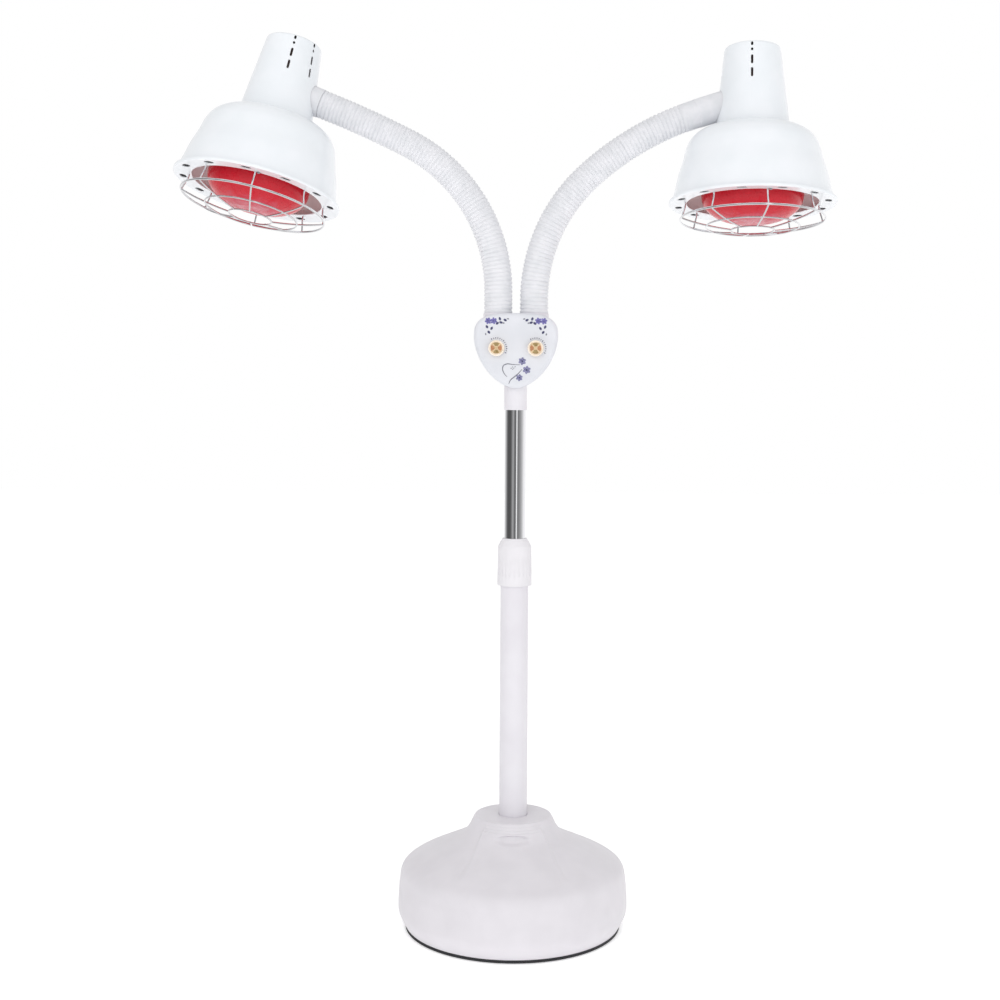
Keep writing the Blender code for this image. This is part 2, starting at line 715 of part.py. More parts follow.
def build_mast():
    mast = make_pivot("mast_frame", Matrix.Identity(4))
    pipe = tube(MAST_RADIUS, MAST_RADIUS - MAST_WALL, MAST_FOOT, MAST_TOP, SIDES_TUBE)
    add_object("inner_tube", pipe, "chrome", mast)
    bush_bore = clear_radius(MAST_RADIUS, SIDES_INSIDE)
    foot_bore = (MAST_RADIUS - MAST_WALL) / math.cos(math.pi / SIDES_INSIDE)
    bush = [
        (OUTER_BORE - GAP, MAST_FOOT - BUSH_STOP),
        (OUTER_BORE - GAP, MAST_FOOT + BUSH_HEIGHT),
        (bush_bore, MAST_FOOT + BUSH_HEIGHT),
        (bush_bore, MAST_FOOT - GAP),
        (foot_bore, MAST_FOOT - GAP),
        (foot_bore, MAST_FOOT - BUSH_STOP),
    ]
    add_object("glide_bush", turned(bush, SIDES_INSIDE, True), "nylon", mast)
    sleeve = tube(SLEEVE_RADIUS, MAST_RADIUS + GAP, SLEEVE_FOOT, SLEEVE_TOP, SIDES_TUBE)
    add_object("mast_sleeve", sleeve, "white_paint", mast)
    build_box(mast)
    for side in (LEFT, RIGHT):
        build_neck_nut(mast, side)
        build_dimmer(mast, side)
    board_front = dimmer_back() + GAP
    board_low = KNOB_HEIGHT - BOARD_HEIGHT / 2.0
    board = box_at(bmesh.new(), (-BOARD_WIDTH / 2.0, board_front, board_low),
                   (BOARD_WIDTH / 2.0, board_front + BOARD_THICKNESS, board_low + BOARD_HEIGHT))
    add_object("control_board", board, "board_green", mast)
    block_front = board_front + BOARD_THICKNESS + GAP
    block = box_at(bmesh.new(), (-TERMINAL_WIDTH / 2.0, block_front, KNOB_HEIGHT - TERMINAL_HEIGHT / 2.0),
                   (TERMINAL_WIDTH / 2.0, block_front + TERMINAL_DEPTH, KNOB_HEIGHT + TERMINAL_HEIGHT / 2.0))
    add_object("terminal_block", block, "black_plastic", mast)
    return mast


def build_box(mast):
    """Front and back halves of the control box, their posts and the screws between them."""
    half = BOX_DEPTH / 2.0
    reach = BOX_HALF_WIDTH + OVERRUN
    hollow = add_object("cut_hollow", pillow(BOX_WALL, BOX_EDGE - BOX_WALL, HOLLOW_EDGE_STEPS), None, mast)
    openings = bmesh.new()
    for side in (LEFT, RIGHT):
        rod(clear_radius(NUT_RADIUS, SIDES_TUBE), NUT_FLANGE_TOP, NUT_LIP + OVERRUN, SIDES_TUBE,
            Matrix.Translation((side["sign"] * NECK_OFFSET, 0.0, 0.0)), openings)
    rod(clear_radius(SLEEVE_RADIUS, SIDES_TUBE), SLEEVE_FOOT, SLEEVE_TOP, SIDES_TUBE, None, openings)
    opening_cutter = add_object("cut_openings", openings, None, mast)

    shaft_holes = bmesh.new()
    for side in (LEFT, RIGHT):
        frame = facing((0.0, -1.0, 0.0), (side["sign"] * KNOB_OFFSET, -half, KNOB_HEIGHT))
        shaft_hole = clear_radius(SHAFT_RADIUS, SIDES_TINY)
        rod(shaft_hole, -BOX_WALL - OVERRUN, OVERRUN, SIDES_TINY, frame, shaft_holes)
    shaft_cutter = add_object("cut_shafts", shaft_holes, None, mast)

    posts = bmesh.new()
    screw_holes = bmesh.new()
    post_start = half - BOX_WALL - GAP
    for i, (x, z) in enumerate(post_places()):
        frame = facing((0.0, -1.0, 0.0), (x, 0.0, z))
        rod(POST_RADIUS, -post_start, half - BOX_WALL / 2.0, SIDES_TINY, frame, posts)
        shank_end = -post_start + BOX_SCREW_GRIP
        shape = [
            (BOX_SCREW_HEAD_RADIUS, -half - GAP - BOX_SCREW_HEAD_HEIGHT),
            (BOX_SCREW_HEAD_RADIUS, -half - GAP),
            (BOX_SCREW_RADIUS, -half - GAP),
            (BOX_SCREW_RADIUS, shank_end),
        ]
        add_object("box_screw_%d" % (i + 1), turned(shape, SIDES_TINY, False, frame), "steel", mast)
        rod(clear_radius(BOX_SCREW_RADIUS, SIDES_TINY), -half - OVERRUN, shank_end + GAP, SIDES_TINY,
            frame, screw_holes)
    post_body = add_object("cut_posts", posts, None, mast)
    screw_cutter = add_object("cut_box_screws", screw_holes, None, mast)

    spans = {"box_front": (-half - OVERRUN, -GAP / 2.0), "box_back": (GAP / 2.0, half + OVERRUN)}
    for name, (low_y, high_y) in spans.items():
        keeper = box_at(bmesh.new(), (-reach, low_y, BOX_CENTRE - BOX_DROP - OVERRUN),
                        (reach, high_y, BOX_CENTRE + BOX_RISE + OVERRUN))
        shell = add_object(name, pillow(0.0, BOX_EDGE, BOX_EDGE_STEPS), "white_moulded", mast)
        boolean(shell, hollow)
        boolean(shell, add_object("keep_" + name, keeper, None, mast), "INTERSECT")
        boolean(shell, opening_cutter)
        if name == "box_front":
            boolean(shell, post_body, "UNION")
            boolean(shell, shaft_cutter)
        boolean(shell, screw_cutter)


def build_neck_nut(mast, side):
    """Round nut in the box's top that holds the gooseneck's first ball."""
    sides = SIDES_INSIDE
    lip = clear_radius(math.sqrt(NECK_BALL ** 2 - LIP_SETBACK ** 2), sides)
    outline = [
        (NUT_RADIUS, NUT_FOOT),
        (NUT_RADIUS, NUT_FLANGE_TOP - NUT_FLANGE_HEIGHT),
        (NUT_FLANGE_RADIUS, NUT_FLANGE_TOP - NUT_FLANGE_HEIGHT),
        (NUT_FLANGE_RADIUS, NUT_FLANGE_TOP - GAP),
        (NUT_RADIUS, NUT_FLANGE_TOP - GAP),
        (NUT_RADIUS, NUT_LIP),
        (lip, NUT_LIP),
        (lip, NUT_FOOT),
    ]
    frame = Matrix.Translation((side["sign"] * NECK_OFFSET, 0.0, 0.0))
    add_object("neck_nut_" + side["name"], turned(outline, sides, True, frame), "steel", mast)


def dimmer_back():
    """Y of the rotary switches' back faces."""
    return -BOX_DEPTH / 2.0 + BOX_WALL + GAP + DIMMER_DEPTH


def build_dimmer(mast, side):
    """Rotary switch behind a knob, with a blind bore for the shaft."""
    frame = facing((0.0, -1.0, 0.0), (side["sign"] * KNOB_OFFSET, -BOX_DEPTH / 2.0, KNOB_HEIGHT))
    front = -BOX_WALL - GAP
    bore = clear_radius(SHAFT_RADIUS, SIDES_SMALL)
    outline = [
        (DIMMER_RADIUS, front - DIMMER_DEPTH),
        (DIMMER_RADIUS, front),
        (bore, front),
        (bore, front - SHAFT_IN_DIMMER - GAP),
    ]
    add_object("dimmer_" + side["name"], turned(outline, SIDES_SMALL, False, frame), "black_plastic", mast)


def build_knob(side):
    """Knob, its cap and its shaft, turning about a line square to the box's front."""
    centre = (side["sign"] * KNOB_OFFSET, -BOX_DEPTH / 2.0, KNOB_HEIGHT)
    body = make_pivot("knob_%s_frame" % side["name"], facing((0.0, -1.0, 0.0), centre))
    foot = GAP * 2.0
    edge = KNOB_CAP_DEPTH / 2.0
    seat = KNOB_DEPTH - KNOB_CAP_DEPTH + KNOB_CAP_STAND
    seat_radius = clear_radius(KNOB_CAP_RADIUS, SIDES_TUBE)
    bore = clear_radius(SHAFT_RADIUS, SIDES_TUBE)
    outline = [
        (bore, SHAFT_IN_KNOB + GAP),
        (bore, foot),
        (KNOB_RADIUS, foot),
        (KNOB_RADIUS - edge / 2.0, KNOB_DEPTH - edge),
        (KNOB_RADIUS - edge, KNOB_DEPTH),
        (seat_radius, KNOB_DEPTH),
        (seat_radius, seat - GAP),
    ]
    add_object("knob_" + side["name"], turned(outline, SIDES_TUBE, False), "ivory", body)

    top = seat + KNOB_CAP_DEPTH
    rings = []
    for height, inset in ((seat, 0.0), (top - edge / 2.0, 0.0), (top, edge / 2.0)):
        ring = []
        for i in range(SIDES_TUBE):
            turn = 2.0 * math.pi * i / SIDES_TUBE
            lobe = 1.0 - KNOB_LOBE_SHARE * (1.0 - math.cos(KNOB_LOBES * turn))
            radius = KNOB_CAP_RADIUS * lobe - inset
            ring.append(Vector((math.cos(turn) * radius, math.sin(turn) * radius, height)))
        rings.append(ring)
    cap = bmesh.new()
    skin(cap, rings, False)
    add_object("knob_cap_" + side["name"], cap, "gold", body)

    shaft = rod(SHAFT_RADIUS, -BOX_WALL - GAP - SHAFT_IN_DIMMER, SHAFT_IN_KNOB, SIDES_TINY)
    add_object("dimmer_shaft_" + side["name"], shaft, "brass", body)


# Goosenecks

def neck_path(side, run):
    """Point and direction on a gooseneck's centre line, a run along it from the nut's lip."""
    start = Vector((side["sign"] * NECK_OFFSET, 0.0, NUT_LIP))
    lean = 0.0
    pieces = (
        (side["straight"], None),
        (side["arc_one"] * side["turn_one"], side["arc_one"]),
        (side["arc_two"] * side["turn_two"], side["arc_two"]),
        (math.inf, None),
    )
    for length, radius in pieces:
        part = min(run, length)
        if radius is None:
            start = start + Vector((side["sign"] * math.sin(lean), 0.0, math.cos(lean))) * part
        else:
            after = lean + part / radius
            start = start + Vector((
                side["sign"] * radius * (math.cos(lean) - math.cos(after)),
                0.0,
                radius * (math.sin(after) - math.sin(lean)),
            ))
            lean = after
        run = run - part
        if run <= 0.0:
            break
    return start, Vector((side["sign"] * math.sin(lean), 0.0, math.cos(lean)))


def neck_length(side):
    """Length of the centre line from the nut's lip to the head's axis."""
    arcs = side["arc_one"] * side["turn_one"] + side["arc_two"] * side["turn_two"]
    return side["straight"] + arcs + side["run"]


def cap_radius_at(height):
    """The cap's outer radius at a height of the head."""
    share = (height - SHADE_HEIGHT) / (CAP_TOP - SHADE_HEIGHT)
    return CAP_FOOT_RADIUS + (CAP_TOP_RADIUS - CAP_FOOT_RADIUS) * share


def ferrule_mouth(side):
    """Run at which the smooth sleeve takes over from the ribs."""
    return neck_length(side) - cap_radius_at(HEAD_SOCKET) - side["sleeve"]


def hinge_runs(side):
    """Runs of the ball centres, evenly spread from the nut to the sleeve."""
    first = LIP_SETBACK
    step = (ferrule_mouth(side) - first) / NECK_SECTIONS
    return [first + step * k for k in range(NECK_SECTIONS)]


def cross_ring(point, along, radius, phase):
    """A ring square to the neck's centre line."""
    across = Vector((0.0, 1.0, 0.0)).cross(along).normalized()
    up = Vector((0.0, 1.0, 0.0))
    step = 2.0 * math.pi / SIDES_NECK
    return [
        point + (across * math.cos(phase + i * step) + up * math.sin(phase + i * step)) * radius
        for i in range(SIDES_NECK)
    ]


def build_neck(side):
    """Five ribbed sections, each with a ball at its foot and a socket at its head."""
    runs = hinge_runs(side)
    mouth = ferrule_mouth(side)
    lip_radius = clear_radius(math.sqrt(NECK_BALL ** 2 - LIP_SETBACK ** 2), SIDES_NECK)
    edge_turn = math.asin(NECK_BORE / NECK_BALL)
    socket_depth = NECK_BALL * math.cos(edge_turn - NECK_BEND) + 2.0 * GAP
    for k in range(NECK_SECTIONS):
        name = "neck_%s_%d" % (side["name"], k + 1)
        pivot_point, along = neck_path(side, runs[k])
        body = make_pivot(name + "_frame", facing(along, pivot_point))
        phase = math.pi / SIDES_NECK * (k % 2)
        rings = []
        for step in range(BALL_RINGS):
            turn = edge_turn + (math.pi / 2.0 - edge_turn) * step / (BALL_RINGS - 1)
            centre = pivot_point - along * NECK_BALL * math.cos(turn)
            rings.append(cross_ring(centre, along, NECK_BALL * math.sin(turn), phase))
        last = k == NECK_SECTIONS - 1
        ribs_end = mouth - GAP if last else runs[k + 1] - LIP_SETBACK
        ribs = max(1, round((ribs_end - runs[k]) / RIB_PITCH))
        pitch = (ribs_end - runs[k]) / (ribs + 0.5)
        for i in range(2 * ribs + 2):
            point, direction = neck_path(side, runs[k] + pitch * i / 2.0)
            radius = NECK_ROOT if i % 2 == 0 else NECK_CREST
            rings.append(cross_ring(point, direction, radius, phase))
        bore = NECK_BORE
        if last:
            tip_run = neck_length(side) - cap_radius_at(HEAD_SOCKET) + CAP_WALL
            for run, radius in ((mouth - GAP, SPIGOT_RADIUS), (tip_run, SPIGOT_RADIUS), (tip_run, bore)):
                point, direction = neck_path(side, run)
                rings.append(cross_ring(point, direction, radius, phase))
            bore_end = mouth
        else:
            next_point, next_along = neck_path(side, runs[k + 1])
            seat = ((LIP_SETBACK, lip_radius), (socket_depth, lip_radius), (socket_depth, bore))
            for setback, radius in seat:
                rings.append(cross_ring(next_point - next_along * setback, next_along, radius, phase))
            bore_end = runs[k + 1] - socket_depth
        for step in range(1, BORE_STEPS):
            point, direction = neck_path(side, bore_end + (runs[k] - bore_end) * step / BORE_STEPS)
            rings.append(cross_ring(point, direction, bore, phase))
        bm = bmesh.new()
        skin(bm, rings, True)
        add_object(name, bm, "ribbed_sleeve", body, world=True, smooth_angle=30.0)


# Heads

def head_matrix(side):
    """Frame of a head: origin where the neck's line meets the head's axis, Z up the axis."""
    point, along = neck_path(side, neck_length(side))
    turn = Matrix.Rotation(side["roll"], 4, "Y") @ Matrix.Rotation(-side["pitch"], 4, "X")
    return Matrix.Translation(point) @ turn


def shade_outline():
    """The shade's outer outline from its foot to the ledge under the cap."""
    points = [(SHADE_FOOT_RADIUS, FLANGE_RISE + FLANGE_SHEET + GAP)]
    points.extend((r * SHADE_FOOT_RADIUS, h * SHADE_HEIGHT) for r, h in SHADE_OUTLINE_SHARES)
    return points


def build_head(side):
    """One lamp head. Heights are counted from the flange's lower face."""
    name = side["name"]
    matrix = head_matrix(side)
    body = make_pivot("head_%s_frame" % name, matrix)
    down = Matrix.Translation((0.0, 0.0, -HEAD_SOCKET))
    joint, along = neck_path(side, neck_length(side))
    neck_azimuth = 0.0 if along.x < 0.0 else math.pi

    # Sleeve between neck and cap, its inner end just inside the cap
    mouth = neck_path(side, ferrule_mouth(side))[0]
    reach = (joint - mouth).length
    length = reach - cap_radius_at(HEAD_SOCKET) + CAP_WALL + FERRULE_REACH
    sleeve = tube(FERRULE_RADIUS, SPIGOT_RADIUS + GAP, 0.0, length, SIDES_TUBE, facing(along, mouth))
    add_object("neck_ferrule_" + name, sleeve, "white_paint", body, world=True)

    # Cap: a cone with a rounded top edge, open below, slotted, holed for the sleeve
    rounded = CAP_EDGE * (1.0 - math.sin(math.pi / 4.0))
    outer = [
        (CAP_FOOT_RADIUS, SHADE_HEIGHT + GAP),
        (cap_radius_at(CAP_TOP - CAP_EDGE), CAP_TOP - CAP_EDGE),
        (cap_radius_at(CAP_TOP) - rounded, CAP_TOP - rounded),
        (cap_radius_at(CAP_TOP) - CAP_EDGE, CAP_TOP),
    ]
    inner = [
        (outer[3][0] - CAP_WALL, CAP_TOP - CAP_WALL),
        (outer[1][0] - CAP_WALL, CAP_TOP - CAP_EDGE),
        (CAP_FOOT_RADIUS - CAP_WALL, SHADE_HEIGHT + GAP),
    ]
    shell = turned(outer[::-1] + inner[::-1], SIDES_CAP, False, down)
    cap = add_object("cap_" + name, shell, "head_paint", body)
    hole_radius = clear_radius(FERRULE_RADIUS, SIDES_TUBE)
    hole = rod(hole_radius, 0.0, reach - HOLDER_RADIUS, SIDES_TUBE, facing(along, mouth))
    boolean(cap, add_object("cut_socket_" + name, hole, None, body, world=True))
    vents = bmesh.new()
    for turn in VENT_TURNS:
        frame = down @ Matrix.Rotation(neck_azimuth + math.radians(turn), 4, "Z")
        top = CAP_TOP - CAP_EDGE - VENT_TOP_GAP
        for slot in VENT_LENGTHS:
            box_at(vents, (CAP_TOP_RADIUS / 2.0, -VENT_WIDTH / 2.0, top - slot),
                   (CAP_FOOT_RADIUS + OVERRUN, VENT_WIDTH / 2.0, top), frame)
            top = top - slot - VENT_BRIDGE
    boolean(cap, add_object("cut_vents_" + name, vents, None, body))

    # Shade
    outer = shade_outline()
    inner = offset_outline(outer, SHADE_WALL)
    section = list(outer)
    section.append((SHADE_HOLE, SHADE_HEIGHT))
    section.append((SHADE_HOLE, SHADE_HEIGHT - SHADE_WALL))
    section.extend(inner[i] for i in SHADE_INNER_ROWS)
    section.append((SHADE_FOOT_RADIUS - SHADE_WALL, outer[0][1]))
    add_object("shade_" + name, turned(section, SIDES_HEAD, True, down), "head_paint", body)

    build_flange(side, body, down)
    build_lamp(side, body, down)
    build_guard(side, body, down)
    return body


def build_flange(side, body, down):
    """Ring that closes the shade's foot: it rises outwards, with oval holes and a rim."""
    seat = clear_radius(SHADE_FOOT_RADIUS, SIDES_HEAD)
    edge = FLANGE_SHEET / 2.0
    outline = [
        (FLANGE_RADIUS - edge, FLANGE_RISE),
        (FLANGE_RADIUS, FLANGE_RISE + edge),
        (FLANGE_RADIUS, FLANGE_LIP),
        (seat, FLANGE_LIP),
        (seat, FLANGE_RISE + FLANGE_SHEET),
        (FLANGE_MOUTH, FLANGE_SHEET),
        (FLANGE_MOUTH, 0.0),
        (SHADE_FOOT_RADIUS, FLANGE_RISE),
    ]
    ring = turned(outline, SIDES_HEAD, True, down)
    flange = add_object("flange_ring_" + side["name"], ring, "head_paint", body)
    slots = bmesh.new()
    for frame in around(SLOT_COUNT, SLOT_CIRCLE, phase=side["slots"]):
        ends = []
        for height in (-OVERRUN, FLANGE_RISE + FLANGE_SHEET + OVERRUN):
            end = []
            for unit in ring_points(1.0, height, SIDES_TINY, math.pi / SIDES_TINY):
                point = Vector((unit.x * SLOT_WIDTH / 2.0, unit.y * SLOT_LENGTH / 2.0, height))
                end.append(down @ frame @ point)
            ends.append(end)
        skin(slots, ends, False)
    boolean(flange, add_object("cut_slots_" + side["name"], slots, None, body))
    holes = bmesh.new()
    for frame in guard_screw_frames(side):
        rod(clear_radius(GUARD_SCREW_RADIUS, SIDES_TINY), -OVERRUN, FLANGE_SHEET + OVERRUN, SIDES_TINY,
            down @ frame, holes)
    boolean(flange, add_object("cut_guard_screws_" + side["name"], holes, None, body))


def build_lamp(side, body, down):
    """Lampholder on its stem, the bulb's screw base and the bulb."""
    name = side["name"]
    ceiling = CAP_TOP - CAP_WALL - GAP
    bore = clear_radius(BULB_BASE_RADIUS, SIDES_SMALL)
    holder = [
        (bore, HOLDER_FLOOR + GAP),
        (bore, HOLDER_LOW),
        (HOLDER_RADIUS, HOLDER_LOW),
        (HOLDER_RADIUS, HOLDER_HIGH),
        (STEM_RADIUS, HOLDER_HIGH + STEM_RADIUS),
        (STEM_RADIUS, ceiling),
    ]
    add_object("lampholder_" + name, turned(holder, SIDES_SMALL, False, down), "ceramic", body)

    base_low = BULB_TOP + BULB_BASE_GAP
    base_top = min(base_low + BULB_BASE_HEIGHT, HOLDER_FLOOR)
    base = [
        (BULB_BASE_RADIUS, base_low),
        (BULB_BASE_RADIUS, base_top - STEM_RADIUS / 2.0),
        (STEM_RADIUS, base_top),
        (STEM_RADIUS / 2.0, base_top),
        (STEM_RADIUS / 2.0, base_top - STEM_RADIUS),
        (BULB_BASE_BORE, base_low),
    ]
    add_object("bulb_base_" + name, turned(base, SIDES_SMALL, True, down), "brass", body)

    span = BULB_TOP - BULB_LOW
    outer = [(r * BULB_RADIUS, BULB_LOW + h * span) for r, h in BULB_OUTLINE_SHARES]
    outer.append((BULB_BASE_RADIUS, BULB_TOP))
    inner = offset_outline(outer, BULB_WALL)
    inner[0] = (inner[0][0], outer[0][1] + BULB_WALL)
    inner[-1] = (BULB_BASE_RADIUS - BULB_WALL, BULB_TOP)
    section = outer + [inner[-1]] + [inner[i] for i in BULB_INNER_ROWS] + [inner[0]]
    front = [(outer[0][0] / 2.0, BULB_LOW)]
    back = [(outer[0][0] / 2.0, BULB_LOW + BULB_WALL)]
    glass = turned(front + section + back, SIDES_BULB, False, down)
    add_object("bulb_glass_" + name, glass, "red_glass", body)


def guard_frames(side):
    """One frame per spoke, X pointing out, turned so that one spoke faces the front."""
    return around(GUARD_SPOKES, 0.0, phase=side["spokes"] - math.pi / 2.0)


def guard_screw_frames(side):
    """Two screws, each beside a guard foot."""
    beside = (WIRE_RADIUS + GUARD_SCREW_HEAD_RADIUS + GAP) / GUARD_FOOT_RADIUS
    turn = side["spokes"] - math.pi / 2.0 + beside
    return around(GUARD_SCREW_COUNT, GUARD_FOOT_RADIUS, phase=turn)


def wire(bm, points, radius, sides, matrix, across=None):
    """A round wire swept through points: a level ring, or an open run square to across."""
    closed = across is None
    rings = []
    count = len(points)
    for i, point in enumerate(points):
        if closed:
            before, after = points[i - 1], points[(i + 1) % count]
        else:
            before, after = points[max(i - 1, 0)], points[min(i + 1, count - 1)]
        along = (after - before).normalized()
        side = along.cross(Vector((0.0, 0.0, 1.0))) if closed else across
        up = side.cross(along)
        step = 2.0 * math.pi / sides
        phase = 0.0 if closed else step / 2.0
        rings.append([
            matrix @ (point + (side * math.cos(j * step + phase) + up * math.sin(j * step + phase)) * radius)
            for j in range(sides)
        ])
    skin(bm, rings, closed)


def build_guard(side, body, down):
    """Domed wire guard: three rings and bent spokes, fused where they cross."""
    name = side["name"]
    radii = [share * GUARD_RADIUS for share in GUARD_RADIUS_SHARES]
    drops = [share * GUARD_DEPTH for share in GUARD_DROP_SHARES]
    foot_rise = FLANGE_RISE * GUARD_SEAT / FLANGE_INSET
    spoke_end = radii[2] * math.cos(math.pi / GUARD_RING_SIDES[2])
    parts = []
    for radius, drop, sides in zip(radii, drops, GUARD_RING_SIDES):
        bm = bmesh.new()
        points = ring_points(radius, -drop, sides, side["spokes"] + math.pi / sides)
        thick = WIRE_RADIUS if radius == radii[0] else THIN_WIRE_RADIUS
        wire(bm, points, thick, WIRE_SIDES, down)
        parts.append(bm)
    for frame in guard_frames(side):
        bm = bmesh.new()
        places = [
            (GUARD_FOOT_RADIUS, THIN_WIRE_RADIUS / 2.0 - foot_rise),
            (radii[0] - WIRE_RADIUS, drops[0] - WIRE_RADIUS),
            (radii[0] - 2.0 * WIRE_RADIUS, drops[0] + WIRE_RADIUS / 2.0),
            (radii[1], drops[1]),
            (spoke_end, drops[2]),
        ]
        wire(bm, [Vector((r, 0.0, -d)) for r, d in places], THIN_WIRE_RADIUS, WIRE_SIDES, down @ frame,
             Vector((0.0, 1.0, 0.0)))
        parts.append(bm)
    first = add_object("guard_" + name, parts[0], "chrome", body)
    for i, bm in enumerate(parts[1:]):
        boolean(first, add_object("join_guard_%s_%d" % (name, i), bm, None, body), "UNION")

    for i, frame in enumerate(guard_screw_frames(side)):
        shape = [
            (GUARD_SCREW_HEAD_RADIUS, -GAP - GUARD_SCREW_HEAD_HEIGHT),
            (GUARD_SCREW_HEAD_RADIUS, -GAP),
            (GUARD_SCREW_RADIUS, -GAP),
            (GUARD_SCREW_RADIUS, FLANGE_SHEET + GUARD_SCREW_HEAD_HEIGHT),
        ]
        screw = turned(shape, SIDES_TINY, False, down @ frame)
        add_object("guard_screw_%s_%d" % (name, i + 1), screw, "steel", body)


build_stand()
build_lock_collar()
build_mast()
for lamp_side in (LEFT, RIGHT):
    build_knob(lamp_side)
    build_neck(lamp_side)
    build_head(lamp_side)
bpy.context.view_layer.update()
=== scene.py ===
import math

import bmesh
import bpy
from mathutils import Matrix, Vector
from mathutils.bvhtree import BVHTree


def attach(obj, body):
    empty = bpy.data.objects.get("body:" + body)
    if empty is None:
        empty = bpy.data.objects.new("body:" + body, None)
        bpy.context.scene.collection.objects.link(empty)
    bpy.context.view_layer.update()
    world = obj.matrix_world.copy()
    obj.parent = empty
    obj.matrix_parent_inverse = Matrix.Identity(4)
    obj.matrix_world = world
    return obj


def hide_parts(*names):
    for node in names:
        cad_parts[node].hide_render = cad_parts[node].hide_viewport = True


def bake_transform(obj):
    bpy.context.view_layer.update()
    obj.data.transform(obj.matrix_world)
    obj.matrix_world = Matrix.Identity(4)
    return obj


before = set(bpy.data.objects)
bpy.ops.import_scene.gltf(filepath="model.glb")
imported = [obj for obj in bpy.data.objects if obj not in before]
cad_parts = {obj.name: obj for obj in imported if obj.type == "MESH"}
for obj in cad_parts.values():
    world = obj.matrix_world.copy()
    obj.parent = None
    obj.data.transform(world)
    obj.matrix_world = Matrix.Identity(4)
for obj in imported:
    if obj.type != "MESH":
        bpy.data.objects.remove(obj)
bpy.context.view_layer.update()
MM = 0.001
FULL_TURN = 2.0 * math.pi
QUARTER_TURN = math.pi / 2.0
DEGREE = math.pi / 180.0


# Materials

def linear(code):
    """sRGB hex colour as linear values."""
    channels = [int(code[i:i + 2], 16) / 255.0 for i in (0, 2, 4)]
    made = [c / 12.92 if c <= 0.04045 else ((c + 0.055) / 1.055) ** 2.4 for c in channels]
    return (*made, 1.0)


def add_node(tree, kind, settings=None, stops=(), **links):
    """A node with its settings and colour stops, and with values or other nodes' outputs on its inputs."""
    node = tree.nodes.new("ShaderNode" + kind)
    for key, value in (settings or {}).items():
        setattr(node, key, value)
    if stops:
        elements = node.color_ramp.elements
        while len(elements) < len(stops):
            elements.new(0.5)
        for element, (place, colour) in zip(elements, stops):
            element.position = place
            element.color = colour
    for key, value in links.items():
        socket = node.inputs[int(key[3:]) if key.startswith("in_") else key.replace("_", " ")]
        if isinstance(value, bpy.types.NodeSocket):
            tree.links.new(value, socket)
        else:
            socket.default_value = value
    return node


# Where most of the noise lies between 0 and 1, and how far the mottle shifts the tone of glass with a
# painted glow
NOISE_LOW, NOISE_HIGH = 0.3, 0.7
MOTTLE_SHIFT = 0.10


def surface(name, tones, patch, roughness=None, grain=None, relief=0.0, grain_gloss=False, detail=2.0,
            places=(0.35, 0.65), stretch=None, painted_glow_glass=False, **values):
    """A material whose tone and roughness vary in soft patches.

    Patch, grain and relief are sizes in metres. A grain carries the relief, and with grain_gloss the
    roughness. Glass with painted_glow_glass takes its tone from the mesh's rise values and glows in it,
    which is painted light. Every other value goes on the shader's own socket.
    """
    material = bpy.data.materials.new(name)
    material.use_nodes = True
    tree = material.node_tree
    shader = tree.nodes["Principled BSDF"]
    point = add_node(tree, "TexCoord").outputs["Object"]
    if stretch:
        point = add_node(tree, "Mapping", Vector=point, Scale=stretch).outputs["Vector"]
    noises = [add_node(tree, "TexNoise", Vector=point, Scale=1.0 / size, Detail=detail).outputs["Fac"]
              for size in (patch, grain) if size]
    patches, grains = noises[0], noises[-1]
    tone = patches
    if painted_glow_glass:
        rise = add_node(tree, "Attribute", {"attribute_name": "rise"}).outputs["Fac"]
        tone = add_node(tree, "Math", {"operation": "MULTIPLY_ADD"}, in_0=patches,
                        in_1=MOTTLE_SHIFT, in_2=rise).outputs["Value"]
    stops = [(place, linear(code)) for place, code in zip(places, tones)]
    colour = add_node(tree, "ValToRGB", stops=stops, Fac=tone).outputs["Color"]
    tree.links.new(colour, shader.inputs["Base Color"])
    # The glass glows in its own tone: painted light
    if painted_glow_glass:
        tree.links.new(colour, shader.inputs["Emission Color"])
    if roughness:
        gloss = add_node(tree, "MapRange", Value=grains if grain_gloss else patches,
                         From_Min=NOISE_LOW, From_Max=NOISE_HIGH, To_Min=roughness[0], To_Max=roughness[1])
        tree.links.new(gloss.outputs["Result"], shader.inputs["Roughness"])
    if relief:
        bump = add_node(tree, "Bump", Height=grains, Distance=relief, Strength=1.0)
        tree.links.new(bump.outputs["Normal"], shader.inputs["Normal"])
    for key, value in values.items():
        shader.inputs[key.replace("_", " ")].default_value = value
    return material


def stoved_enamel(name, low, high, glow=0.0):
    """Stoved enamel on spun sheet: glossy, with a slight orange peel about 3 mm wide; any glow is painted
    light.
    """
    return surface(name, (low, high), 60.0 * MM, (0.28, 0.30), 3.0 * MM, 0.05 * MM, Coat_Weight=0.35,
                   Coat_Roughness=0.12, Emission_Color=linear("f4efee"), Emission_Strength=glow)


def moulded_abs(name, low, high):
    """Injection-moulded ABS: satin white with a spark-eroded grain, drawn 1.2 mm wide to show."""
    return surface(name, (low, high), 45.0 * MM, (0.36, 0.48), 1.2 * MM, 0.04 * MM, True, IOR=1.53)


def drawn_metal(name, worn, clean, roughness, stretch):
    """Metal with fine scratches about 0.4 mm apart, drawn out along an axis by the stretch."""
    return surface(name, (worn, clean), 0.4 * MM, (roughness * 0.7, roughness * 1.4), relief=0.005 * MM,
                   detail=1.0, stretch=stretch, Metallic=1.0)


def gilt_metal(name, low, high):
    """Gilt plastic of the knobs' caps: warm gold, partly metallic, slightly uneven."""
    return surface(name, (low, high), 3.0 * MM, (0.25, 0.42), relief=0.05 * MM, Metallic=0.35)


